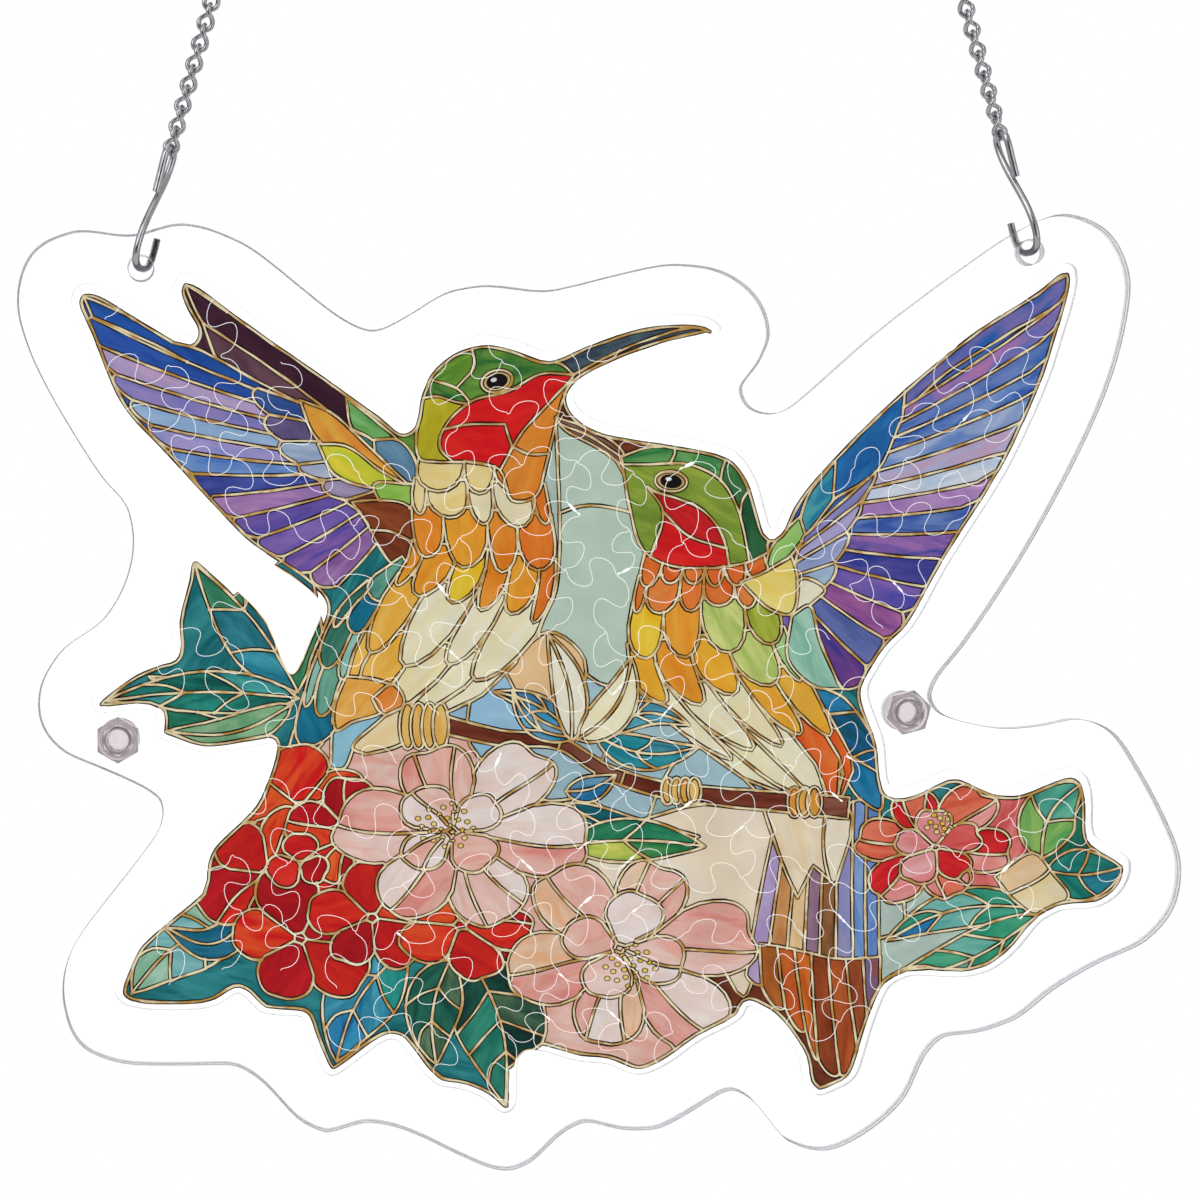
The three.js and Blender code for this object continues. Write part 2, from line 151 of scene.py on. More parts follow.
def thinned(curve: np.ndarray, tolerance: float) -> np.ndarray:
    """The open curve without the points that lie closer than the tolerance to its chords."""
    keep = np.zeros(len(curve), bool)
    keep[[0, -1]] = True
    spans = [(0, len(curve) - 1)]
    while spans:
        first, last = spans.pop()
        if last - first < 2:
            continue
        chord = curve[last] - curve[first]
        offset = curve[first + 1:last] - curve[first]
        length = float(np.hypot(*chord))
        if length > 1e-9:
            far = np.abs(chord[0] * offset[:, 1] - chord[1] * offset[:, 0]) / length
        else:
            far = np.hypot(offset[:, 0], offset[:, 1])
        worst = int(np.argmax(far))
        if far[worst] > tolerance:
            middle = first + 1 + worst
            keep[middle] = True
            spans += [(first, middle), (middle, last)]
    return curve[keep]


def area_of(loop: np.ndarray) -> float:
    """The signed area inside a loop, positive when it turns from the first axis to the second."""
    x, y = loop[:, 0], loop[:, 1]
    return float(np.sum(x * np.roll(y, -1) - np.roll(x, -1) * y) / 2)


def left_normals(curve: np.ndarray, closed: bool) -> np.ndarray:
    """Unit vectors a quarter turn to the left of the curve's direction at each point."""
    if closed:
        run = np.roll(curve, -1, axis=0) - np.roll(curve, 1, axis=0)
    else:
        run = np.gradient(curve, axis=0)
    run /= np.maximum(np.linalg.norm(run, axis=1, keepdims=True), 1e-9)
    return np.column_stack([-run[:, 1], run[:, 0]])


def inset(ring: np.ndarray, distance: float) -> np.ndarray:
    """A ring moved inwards along its normals, without the points that end up nearer than that."""
    inward = left_normals(ring, True) * (1 if area_of(ring) > 0 else -1)
    moved = ring + inward * distance
    gap = moved[:, None] - ring[None]
    near = np.hypot(gap[..., 0], gap[..., 1]).min(axis=1)
    return moved[near > 0.96 * distance]


def inside(points: np.ndarray, ring: np.ndarray) -> np.ndarray:
    """Tells which points lie inside a ring.

    A point is inside where the ring's sides that pass over it on the one hand and on the other
    don't cancel out.
    """
    low, high = ring.min(axis=0), ring.max(axis=0)
    near = np.flatnonzero(((points >= low) & (points <= high)).all(axis=1))
    spot = points[near][:, None]
    a, b = ring[None], np.roll(ring, -1, axis=0)[None]
    upward = (a[..., 1] <= spot[..., 1]) & (b[..., 1] > spot[..., 1])
    downward = (b[..., 1] <= spot[..., 1]) & (a[..., 1] > spot[..., 1])
    turn = ((b[..., 0] - a[..., 0]) * (spot[..., 1] - a[..., 1])
            - (spot[..., 0] - a[..., 0]) * (b[..., 1] - a[..., 1]))
    wound = (upward & (turn > 0)).sum(axis=1) - (downward & (turn < 0)).sum(axis=1)
    found = np.zeros(len(points), bool)
    found[near] = wound != 0
    return found


def groups(count: int, pairs: np.ndarray) -> np.ndarray:
    """Numbers the connected groups of things: each takes the lowest number among its own.

    Args:
        count: How many things there are.
        pairs: Rows of two things that belong together.

    Returns:
        The group number of each thing.
    """
    mark = np.arange(count)
    while len(pairs):
        low = np.minimum(mark[pairs[:, 0]], mark[pairs[:, 1]])
        new = mark.copy()
        np.minimum.at(new, pairs[:, 0], low)
        np.minimum.at(new, pairs[:, 1], low)
        new = new[new]
        if np.array_equal(new, mark):
            break
        mark = new
    return np.unique(mark, return_inverse=True)[1]


@dataclass
class Triangulation:
    """Triangles that keep to every given edge and face, and what each of them came from."""

    points: np.ndarray
    triangles: np.ndarray
    covered: np.ndarray
    covers: np.ndarray
    pairs: np.ndarray
    shared: np.ndarray
    edge_ids: list[list[int]]

    @classmethod
    def of(cls, points: np.ndarray, edges: Sequence[tuple[int, int]],
           faces: Sequence[Sequence[int]]) -> Triangulation:
        """Triangulates the points between the edges and faces.

        Args:
            points: The points.
            edges: Pairs of point numbers that have to be edges.
            faces: Rings of point numbers whose sides have to be edges.

        Returns:
            The triangles, the faces that cover each one, and the pairs of neighbours.
        """
        found = delaunay_2d_cdt([Vector(p) for p in points.tolist()], list(edges),
                                [list(f) for f in faces], 0, 1e-4, True)
        spots = np.array([v[:] for v in found[0]], float)
        tris = np.array(found[2], np.int64)
        cross = np.cross(spots[tris[:, 1]] - spots[tris[:, 0]], spots[tris[:, 2]] - spots[tris[:, 0]])
        tris[cross < 0] = tris[cross < 0][:, ::-1]
        sides = np.sort(np.stack([tris, np.roll(tris, -1, axis=1)], axis=2), axis=2).reshape(-1, 2)
        key = sides[:, 0] * len(spots) + sides[:, 1]
        order = np.argsort(key, kind="stable")
        same = key[order][1:] == key[order][:-1]
        first, second = order[:-1][same], order[1:][same]
        owned = {}
        for (a, b), ids in zip(found[1], found[4]):
            own = [i for i in ids if i < len(edges)]
            if own:
                owned[min(a, b) * len(spots) + max(a, b)] = own
        counts = np.array([len(ids) for ids in found[5]])
        covers = np.fromiter((i for ids in found[5] for i in ids), np.int64, counts.sum())
        covered = np.repeat(np.arange(len(tris)), counts)
        made = cls(spots, tris, covered, covers, np.column_stack([first // 3, second // 3]),
                   sides[first], [owned.get(int(k), []) for k in key[first]])
        made.dam(points, faces)
        return made

    def dam(self, points: np.ndarray, faces: Sequence[Sequence[int]]) -> None:
        """Puts right the faces that spilled over their own area at a nearly flat corner."""
        reach = np.bincount(self.covers, self.areas()[self.covered], len(faces))
        own = np.array([abs(area_of(points[list(face)])) for face in faces])
        for face in np.flatnonzero(reach > 1.5 * own + 1.0):
            stay = self.covers != face
            there = np.flatnonzero(inside(self.centres(), points[list(faces[face])]))
            self.covered = np.concatenate([self.covered[stay], there])
            self.covers = np.concatenate([self.covers[stay], np.full(len(there), face)])

    def covered_by(self, face: int) -> np.ndarray:
        """Tells which triangles a face covers."""
        found = np.zeros(len(self.triangles), bool)
        found[self.covered[self.covers == face]] = True
        return found

    def uppermost(self) -> np.ndarray:
        """The highest number among the faces that cover each triangle, or minus one."""
        best = np.full(len(self.triangles), -1)
        np.maximum.at(best, self.covered, self.covers)
        return best

    def locate(self, spots: np.ndarray) -> np.ndarray:
        """The number of the triangle that holds each spot, or minus one."""
        a, b, c = (self.points[self.triangles[:, k]] for k in range(3))
        low = np.minimum(np.minimum(a, b), c) - 1e-6
        high = np.maximum(np.maximum(a, b), c) + 1e-6
        found = np.full(len(spots), -1)
        for number, spot in enumerate(spots):
            near = np.flatnonzero(((low <= spot) & (high >= spot)).all(axis=1))
            held = [np.cross(q[near] - r[near], spot - r[near]) >= -1e-6 for q, r in ((b, a), (c, b), (a, c))]
            within = near[held[0] & held[1] & held[2]]
            if len(within):
                found[number] = within[0]
        return found

    def areas(self) -> np.ndarray:
        """The area of each triangle."""
        a, b, c = (self.points[self.triangles[:, k]] for k in range(3))
        return np.abs(np.cross(b - a, c - a)) / 2

    def open_pairs(self) -> np.ndarray:
        """Whether each pair of neighbours has no drawn edge between them."""
        return np.array([not ids for ids in self.edge_ids])

    def centres(self) -> np.ndarray:
        """The middle of each triangle."""
        return self.points[self.triangles].mean(axis=1)


def chains(edges: np.ndarray) -> list[np.ndarray]:
    """Joins edges end to end into runs of points that stop where other than two edges meet.

    Args:
        edges: Rows of two point numbers.

    Returns:
        Each run's point numbers in order. A closed run repeats its first one.
    """
    meets: dict[int, list[int]] = {}
    for number, (a, b) in enumerate(edges.tolist()):
        meets.setdefault(a, []).append(number)
        meets.setdefault(b, []).append(number)
    used = np.zeros(len(edges), bool)
    runs = []

    def follow(start: int, number: int) -> None:
        run, here = [start], start
        while True:
            used[number] = True
            a, b = edges[number]
            here = int(b if a == here else a)
            run.append(here)
            onward = [n for n in meets[here] if not used[n]]
            if len(meets[here]) != 2 or not onward:
                break
            number = onward[0]
        runs.append(np.array(run))

    for point, numbers in meets.items():
        if len(numbers) != 2:
            for number in numbers:
                if not used[number]:
                    follow(point, number)
    for number in range(len(edges)):
        if not used[number]:
            follow(int(edges[number][0]), number)
    return runs


class Sheaf:
    """Gathers points, edges and faces for one triangulation."""

    def __init__(self) -> None:
        """Starts empty."""
        self.points: list[np.ndarray] = []
        self.edges: list[tuple[int, int]] = []
        self.faces: list[list[int]] = []
        self.count = 0

    def add_points(self, points: np.ndarray) -> np.ndarray:
        """Adds points and returns their numbers."""
        numbers = np.arange(self.count, self.count + len(points))
        self.points.append(np.asarray(points, float))
        self.count += len(points)
        return numbers

    def add_face(self, ring: np.ndarray) -> int:
        """Adds a face inside the ring of points and returns the face's number."""
        self.faces.append(self.add_points(ring if area_of(ring) > 0 else ring[::-1]).tolist())
        return len(self.faces) - 1

    def add_curve(self, curve: np.ndarray) -> range:
        """Adds the edges along an open curve and returns their numbers."""
        numbers = self.add_points(curve).tolist()
        first = len(self.edges)
        self.edges += list(zip(numbers[:-1], numbers[1:]))
        return range(first, len(self.edges))

    def add_ribbon(self, curve: np.ndarray, widths: np.ndarray, shift: np.ndarray | float = 0) -> None:
        """Adds the faces of a strip along an open curve.

        Each face lies between two neighbouring points, and reaches half the width to either side
        of the curve after the curve has moved aside by the shift. Where the curve turns too sharply
        for that, a plain block with a disc at each end takes its place.

        Args:
            curve: The middle line.
            widths: The strip's whole width at each point.
            shift: How far the strip stands to the left of the middle line.
        """
        side = left_normals(curve, False)
        if np.allclose(curve[0], curve[-1]) and len(curve) > 3:
            side[[0, -1]] = left_normals(curve[:-1], True)[0]
        shift = np.broadcast_to(np.asarray(shift, float), len(curve))
        left = curve + side * (shift + widths / 2)[:, None]
        right = curve + side * (shift - widths / 2)[:, None]
        quads = np.stack([left[:-1], right[:-1], right[1:], left[1:]], axis=1)
        turn = np.cross(quads - np.roll(quads, 1, axis=1), np.roll(quads, -1, axis=1) - quads)
        fair = (turn > 1e-3).all(axis=1)
        first = self.add_points(left), self.add_points(right)
        faces = np.column_stack([first[0][:-1], first[1][:-1], first[1][1:], first[0][1:]])
        self.faces += faces[fair].tolist()
        for k in np.flatnonzero(~fair):
            way = curve[k + 1] - curve[k]
            half = quarter_turn(way) / max(float(np.hypot(*way)), 1e-6) * widths[k] / 2
            if np.hypot(*way) > 0.05:
                self.add_face(np.array([curve[k] + half, curve[k] - half, curve[k + 1] - half, curve[k + 1] + half]))
            self.add_disc(curve[k], widths[k] / 2)
            self.add_disc(curve[k + 1], widths[k] / 2)

    def add_disc(self, centre: np.ndarray, radius: float, sides: int = 10) -> None:
        """Adds a round face."""
        turn = np.arange(sides) * TAU / sides
        self.add_face(centre + radius * np.column_stack([np.cos(turn), np.sin(turn)]))

    def triangulate(self) -> Triangulation:
        """Triangulates all that was gathered."""
        return Triangulation.of(np.vstack(self.points), self.edges, self.faces)


# ---------------------------------------------------------------- colours and materials


def linear(code: str) -> tuple[float, float, float, float]:
    """A screen colour, written as six hexadecimal digits, as linear red, green, blue and alpha."""
    parts = (int(code[i:i + 2], 16) / 255 for i in (0, 2, 4))
    return (*(c / 12.92 if c <= 0.04045 else ((c + 0.055) / 1.055) ** 2.4 for c in parts), 1.0)


class Nodes:
    """Builds one node tree."""

    def __init__(self, name: str) -> None:
        """Makes the material with its Principled shader and its output."""
        self.material = bpy.data.materials.new(name)
        self.material.use_nodes = True
        self.tree = self.material.node_tree
        self.tree.nodes.clear()
        self.shader = self.node("ShaderNodeBsdfPrincipled")
        self.output = self.node("ShaderNodeOutputMaterial")
        self.link(self.shader.outputs[0], self.output.inputs["Surface"])

    def node(self, kind: str, **settings: object) -> bpy.types.Node:
        """Adds a node. Settings that name a socket fill it, and the others are its properties."""
        made = self.tree.nodes.new(kind)
        for key, value in settings.items():
            name = key.replace("_", " ").title().replace("Ior", "IOR")
            if name in made.inputs:
                made.inputs[name].default_value = value
            else:
                setattr(made, key, value)
        return made

    def link(self, source: bpy.types.NodeSocket, target: bpy.types.NodeSocket) -> None:
        """Joins two sockets."""
        self.tree.links.new(source, target)

    def coordinates(self, scale: Sequence[float], source: str = "Object") -> bpy.types.NodeSocket:
        """Texture coordinates multiplied by a scale along each axis."""
        mapping = self.node("ShaderNodeMapping", scale=tuple(scale))
        self.link(self.node("ShaderNodeTexCoord").outputs[source], mapping.inputs["Vector"])
        return mapping.outputs[0]

    def noise(self, where: bpy.types.NodeSocket, **settings: object) -> bpy.types.NodeSocket:
        """Fractal noise at the given coordinates."""
        made = self.node("ShaderNodeTexNoise", **settings)
        self.link(where, made.inputs["Vector"])
        return made.outputs[0]

    def spread(self, value: bpy.types.NodeSocket, low: float, high: float,
               to_low: float, to_high: float) -> bpy.types.NodeSocket:
        """The value moved from one range to another, with its ends clamped."""
        made = self.node("ShaderNodeMapRange", from_min=low, from_max=high, to_min=to_low, to_max=to_high)
        self.link(value, made.inputs["Value"])
        return made.outputs[0]

    def mix(self, share: bpy.types.NodeSocket, first: object, second: object,
            blend: str = "MIX") -> bpy.types.NodeSocket:
        """Mixes two colours, each a socket or a colour code."""
        made = self.node("ShaderNodeMix", data_type="RGBA", blend_type=blend)
        self.link(share, made.inputs["Factor"])
        for socket, colour in ((made.inputs[6], first), (made.inputs[7], second)):
            if isinstance(colour, str):
                socket.default_value = linear(colour)
            else:
                self.link(colour, socket)
        return made.outputs[2]

    def set(self, **settings: object) -> None:
        """Fills the shader's own sockets."""
        for key, value in settings.items():
            name = key.replace("_", " ").title().replace("Ior", "IOR")
            self.shader.inputs[name].default_value = value

    def bump(self, height: bpy.types.NodeSocket, distance: float, strength: float = 1.0) -> None:
        """Leads a height in metres to the shader's normal."""
        made = self.node("ShaderNodeBump", strength=strength, distance=distance)
        self.link(height, made.inputs["Height"])
        self.link(made.outputs[0], self.shader.inputs["Normal"])


@dataclass(frozen=True)
class ClearAcrylic:
    """Polished clear sheet, with the faint waviness of cast stock."""

    name: str = "cast_sheet"
    tint: str = "fbfdfd"
    ripple: float = 9.0
    depth: float = 0.000004
    alpha: float = 0.15

    def material(self) -> bpy.types.Material:
        """Builds the material."""
        made = Nodes(self.name)
        made.set(base_color=linear(self.tint), transmission_weight=1.0, roughness=0.0, IOR=ACRYLIC_IOR,
                 alpha=self.alpha)
        made.bump(made.noise(made.coordinates((1, 1, 1)), scale=self.ripple, detail=1.0), self.depth)
        return made.material


@dataclass(frozen=True)
class CutEdge:
    """Laser-cut edge of the clear sheet, a little cloudy, with fine lines across its thickness. Its grey-lavender
    colour is partly that cloudiness and partly painted shade, darkened to stand for the dark lines that the rims
    show by refraction.
    """

    name: str = "cut_edge"
    # tint and shade are darker than the cloudy edge alone: painted shade for the grey rim lines that come from
    # refraction
    tint: str = "aaa6b4"
    shade: str = "7d7a88"

    def material(self) -> bpy.types.Material:
        """Builds the material."""
        made = Nodes(self.name)
        lines = made.noise(made.coordinates((1, 0.05, 1)), scale=700.0, detail=2.0)
        made.link(made.mix(lines, self.tint, self.shade), made.shader.inputs["Base Color"])
        made.set(transmission_weight=0.5, roughness=0.25, IOR=ACRYLIC_IOR, alpha=0.85)
        made.bump(lines, 0.00001)
        return made.material


@dataclass(frozen=True)
class MouldedPlastic:
    """Translucent plastic of the screws and nuts, cloudy and slightly pinkish."""

    name: str = "moulded_plastic"
    tint: str = "efe8ea"
    cloud: str = "d9cfd3"

    def material(self) -> bpy.types.Material:
        """Builds the material."""
        made = Nodes(self.name)
        flow = made.noise(made.coordinates((1, 1, 1)), scale=900.0, detail=3.0)
        made.link(made.mix(flow, self.tint, self.cloud), made.shader.inputs["Base Color"])
        made.set(transmission_weight=0.82, roughness=0.22, IOR=1.5)
        made.bump(flow, 0.00002)
        return made.material


@dataclass(frozen=True)
class PolishedSteel:
    """Bright drawn wire with fine lengthwise scratches."""

    name: str = "drawn_wire"
    tint: str = "c6c7ca"
    shade: str = "939498"
    roughness: float = 0.16

    def material(self) -> bpy.types.Material:
        """Builds the material."""
        made = Nodes(self.name)
        scratches = made.noise(made.coordinates((1, 1, 0.12)), scale=2600.0, detail=4.0)
        clouds = made.noise(made.coordinates((1, 1, 1)), scale=420.0, detail=2.0)
        made.link(made.mix(clouds, self.tint, self.shade), made.shader.inputs["Base Color"])
        made.link(made.spread(scratches, 0.3, 0.7, self.roughness - 0.05, self.roughness + 0.1),
                  made.shader.inputs["Roughness"])
        made.set(metallic=1.0)
        made.bump(scratches, 0.000006)
        return made.material


@dataclass(frozen=True)
class GlassPrint:
    """Printed panes: two colours of each pane run into each other in streaks along its grain."""

    name: str = "printed_panes"

    def material(self) -> bpy.types.Material:
        """Builds the material."""
        made = Nodes(self.name)
        grain = made.node("ShaderNodeUVMap", uv_map=Picture.GRAIN).outputs[0]
        streaks = made.noise(grain, scale=1.0, detail=5.0, roughness=0.55, distortion=0.9)
        share = made.spread(streaks, 0.36, 0.66, 0.0, 1.0)
        tint = made.node("ShaderNodeAttribute", attribute_name=Picture.TINT).outputs["Color"]
        streak = made.node("ShaderNodeAttribute", attribute_name=Picture.STREAK).outputs["Color"]
        colour = made.mix(share, tint, streak)
        clouds = made.noise(made.coordinates((1, 1, 1)), scale=140.0, detail=3.0)
        light = made.mix(made.spread(clouds, 0.3, 0.7, 0.0, 1.0), "f0f0f0", "ffffff")
        whole = made.node("ShaderNodeMix", data_type="RGBA", blend_type="MULTIPLY")
        whole.inputs["Factor"].default_value = 1.0
        made.link(colour, whole.inputs[6])
        made.link(light, whole.inputs[7])
        made.link(whole.outputs[2], made.shader.inputs["Base Color"])
        made.set(roughness=0.35, specular_ior_level=0.2)
        return made.material


@dataclass(frozen=True)
class LinePrint:
    """Printed lead lines, whose colour wanders between two shades."""

    name: str
    tint: str
    shade: str
    scale: float
    low: float = 0.42
    high: float = 0.62

    def material(self) -> bpy.types.Material:
        """Builds the material."""
        made = Nodes(self.name)
        wander = made.noise(made.coordinates((1, 1, 1)), scale=self.scale, detail=2.0)
        share = made.spread(wander, self.low, self.high, 0.0, 1.0)
        made.link(made.mix(share, self.tint, self.shade), made.shader.inputs["Base Color"])
        made.set(roughness=0.4, specular_ior_level=0.2)
        return made.material


@dataclass(frozen=True)
class StudioPaint:
    """Matte paint of the floor under the hanging object."""

    name: str = "studio_floor"
    tint: str = "f6f6f6"
    shade: str = "f0f0f0"

    def material(self) -> bpy.types.Material:
        """Builds the material."""
        made = Nodes(self.name)
        share = made.noise(made.coordinates((1, 1, 1)), scale=6.0)
        made.link(made.mix(share, self.tint, self.shade), made.shader.inputs["Base Color"])
        made.set(roughness=0.8)
        return made.material


class Finish(Enum):
    """The finishes of the record's material slots."""

    ACRYLIC = ("clear_acrylic", ClearAcrylic())
    EDGE = ("clear_acrylic", CutEdge())
    PLASTIC = ("clear_plastic", MouldedPlastic())
    STEEL = ("polished_steel", PolishedSteel())
    PANES = ("printed_acrylic", GlassPrint())
    DARK = ("printed_acrylic", LinePrint("dark_line", "1c0f0a", "4a2412", 520.0, 0.5, 0.7))
    GOLD = ("printed_acrylic", LinePrint("gold_line", "f9eac0", "c79a52", 260.0))

    @property
    def slot(self) -> str:
        """The record's slot."""
        return self.value[0]

    def material(self) -> bpy.types.Material:
        """The finish's material, made once."""
        kind = self.value[1]
        return bpy.data.materials.get(kind.name) or kind.material()


# ---------------------------------------------------------------- meshes


def new_piece(name: str, verts: np.ndarray, faces: Sequence[Sequence[int]] | np.ndarray,
              finishes: Sequence[Finish], nodes: Sequence[str], smooth: bool = True,
              material_index: np.ndarray | None = None) -> bpy.types.Object:
    """Makes a piece of the object from vertices in the row frame.

    Args:
        name: The piece's name.
        verts: Vertices in metres.
        faces: Rings of vertex numbers.
        finishes: The finishes, each one added to the mesh as a material.
        nodes: The CAD nodes that the piece stands for.
        smooth: Whether the faces shade smoothly.
        material_index: The finish of each face, where there are several.

    Returns:
        The piece, riding on the body.
    """
    mesh = bpy.data.meshes.new(name)
    mesh.from_pydata(np.asarray(verts, float).tolist(), [], np.asarray(faces).tolist()
                     if isinstance(faces, np.ndarray) else [list(f) for f in faces])
    for finish in finishes:
        mesh.materials.append(finish.material())
    if material_index is not None:
        mesh.polygons.foreach_set("material_index", np.asarray(material_index, np.int32))
    mesh.polygons.foreach_set("use_smooth", np.full(len(mesh.polygons), smooth))
    mesh.update()
    piece = bpy.data.objects.new(name, mesh)
    bpy.context.scene.collection.objects.link(piece)
    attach(piece, BODY)
    finishes[0].slot
    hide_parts(*nodes)
    LOG.info("%s: %d faces", name, len(mesh.polygons))
    return piece


def tube(path: np.ndarray, normals: np.ndarray, radius: np.ndarray | float, sides: int,
         closed: bool) -> tuple[np.ndarray, list[list[int]]]:
    """Carries a circle along a path.

    At each point of the path the circle lies square to the path's direction. It starts from the
    given normal, made square to that direction, and turns about it.

    Args:
        path: The centre line, as rows of three.
        normals: A vector near each cross-section's plane.
        radius: The circle's radius, or one for each point.
        sides: Points on the circle.
        closed: Whether the path's end joins its start.

    Returns:
        The vertices and the faces.
    """
    if closed:
        run = np.roll(path, -1, axis=0) - np.roll(path, 1, axis=0)
    else:
        run = np.gradient(path, axis=0)
    run /= np.linalg.norm(run, axis=1, keepdims=True)
    across = normals - run * np.sum(normals * run, axis=1, keepdims=True)
    across /= np.linalg.norm(across, axis=1, keepdims=True)
    other = np.cross(run, across)
    turn = np.arange(sides) * TAU / sides
    radius = np.broadcast_to(np.asarray(radius, float), len(path))[:, None, None]
    verts = path[:, None] + radius * (np.cos(turn)[None, :, None] * across[:, None]
                                      + np.sin(turn)[None, :, None] * other[:, None])
    rows = len(path) if closed else len(path) - 1
    i, j = np.meshgrid(np.arange(rows), np.arange(sides), indexing="ij")
    a, b = i * sides + j, i * sides + (j + 1) % sides
    below, beside = (i + 1) % len(path) * sides + j, (i + 1) % len(path) * sides + (j + 1) % sides
    faces = np.stack([a, b, beside, below], axis=-1).reshape(-1, 4).tolist()
    if not closed:
        last = (len(path) - 1) * sides
        faces += [list(range(sides))[::-1], list(range(last, last + sides))]
    return verts.reshape(-1, 3), faces


def turned(axis: str, degrees: float) -> np.ndarray:
    """The matrix of a turn about one axis, by the right-hand rule."""
    c, s = math.cos(math.radians(degrees)), math.sin(math.radians(degrees))
    return np.array({"x": [[1, 0, 0], [0, c, -s], [0, s, c]],
                     "y": [[c, 0, s], [0, 1, 0], [-s, 0, c]],
                     "z": [[c, -s, 0], [s, c, 0], [0, 0, 1]]}[axis])


def cad_mesh(node: str) -> tuple[np.ndarray, np.ndarray]:
    """A CAD node's merged vertices and its triangles."""
    mesh = FRAME["nodes"][node].data
    mesh.calc_loop_triangles()
    spots = np.empty(len(mesh.vertices) * 3, np.float32)
    mesh.vertices.foreach_get("co", spots)
    corners = np.empty(len(mesh.loop_triangles) * 3, np.int32)
    mesh.loop_triangles.foreach_get("vertices", corners)
    merged, inverse = np.unique(np.round(spots.reshape(-1, 3).astype(float), 7), axis=0, return_inverse=True)
    return merged, inverse.reshape(-1)[corners].reshape(-1, 3)


@dataclass
class Board:
    """The drawing board and its place on the plate."""

    units_per_mm: float = 5.0
    middle: float = 600.0
    plate_low_mm: tuple[float, float] = (-116.0, -114.4)
    origin: np.ndarray = field(default_factory=lambda: np.zeros(2))

    def settle(self) -> None:
        """Finds the plate's middle from the CAD plate's lowest corner."""
        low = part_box("front_cover")[0]
        self.origin = np.array([low.x - self.plate_low_mm[0] * MM, low.z - self.plate_low_mm[1] * MM])

    def to_row(self, points: np.ndarray, y: float | np.ndarray) -> np.ndarray:
        """Board points as points of the row frame at depth y."""
        scale = MM / self.units_per_mm
        return np.column_stack([
            (points[:, 0] - self.middle) * scale + self.origin[0],
            np.broadcast_to(y, len(points)),
            (self.middle - points[:, 1]) * scale + self.origin[1],
        ])

    def from_row(self, points: np.ndarray) -> np.ndarray:
        """Points of the row frame as board points."""
        scale = self.units_per_mm / MM
        return np.column_stack([
            (points[:, 0] - self.origin[0]) * scale + self.middle,
            self.middle - (points[:, 2] - self.origin[1]) * scale,
        ])

    def outlines(self, node: str) -> list[np.ndarray]:
        """The rings round a flat CAD node's front face, the longest one first, on the board."""
        verts, tris = cad_mesh(node)
        front = verts[:, 1] < verts[:, 1].min() + 1e-6
        flat = tris[front[tris].all(axis=1)]
        sides = np.stack([flat, np.roll(flat, -1, axis=1)], axis=2).reshape(-1, 2)
        ordered = np.sort(sides, axis=1)
        _, first, counts = np.unique(ordered, axis=0, return_index=True, return_counts=True)
        rings = [self.from_row(verts[run[:-1]]) for run in chains(sides[first[counts == 1]])]
        return sorted(rings, key=lambda ring: -abs(area_of(ring)))


BOARD = Board()
FRAME: dict = {}


# ---------------------------------------------------------------- the picture's drawing


@dataclass
class Region:
    """A filled shape of the drawing, with the lines that cut it into panes.

    Attributes:
        outline: The shape's ring on the board.
        tints: Pairs of colour codes, as "first/second". A pane takes one of them.
        cuts: Open curves that divide the shape.
        spots: Points with the number of a pair. A pane takes the pair of the nearest one.
        grain: The direction of the streaks in degrees, or none for the pane's longest way.
        lined: Whether a lead line runs round it.
        streak: How long and how wide the streaks are, in millimetres.
    """

    outline: np.ndarray
    tints: tuple[str, ...]
    cuts: list[np.ndarray] = field(default_factory=list)
    spots: tuple[tuple[float, float, int], ...] = ()
    grain: float | None = None
    lined: bool = True
    streak: tuple[float, float] = (12.0, 3.0)

    def pair_at(self, centre: np.ndarray) -> tuple[str, str]:
        """The two colours of the pane with the given centre."""
        if self.spots:
            far = [math.hypot(centre[0] - x, centre[1] - y) for x, y, _ in self.spots]
            number = self.spots[int(np.argmin(far))][2]
        else:
            number = int(abs(centre[0] * 7.3 + centre[1] * 3.1) / 40) % len(self.tints)
        first, _, second = self.tints[number].partition("/")
        return first, second or first


def cornered(points: Points, corners: str = "") -> np.ndarray:
    """A closed ring that is smooth but for its corners.

    Args:
        points: The points that it passes through.
        corners: The corner points' places in the list, as letters from a on.

    Returns:
        The ring's samples.
    """
    marks = [ord(letter) - 97 for letter in corners]
    ring = [tuple(p) for p in points]
    if not marks:
        return spline(ring, True, 5)
    pieces = []
    for start, stop in zip(marks, marks[1:] + [marks[0] + len(ring)]):
        span = [ring[i % len(ring)] for i in range(start, stop + 1)]
        pieces.append(spline(span, False, 5)[:-1] if len(span) > 2 else np.array(span[:1], float))
    return np.vstack(pieces)


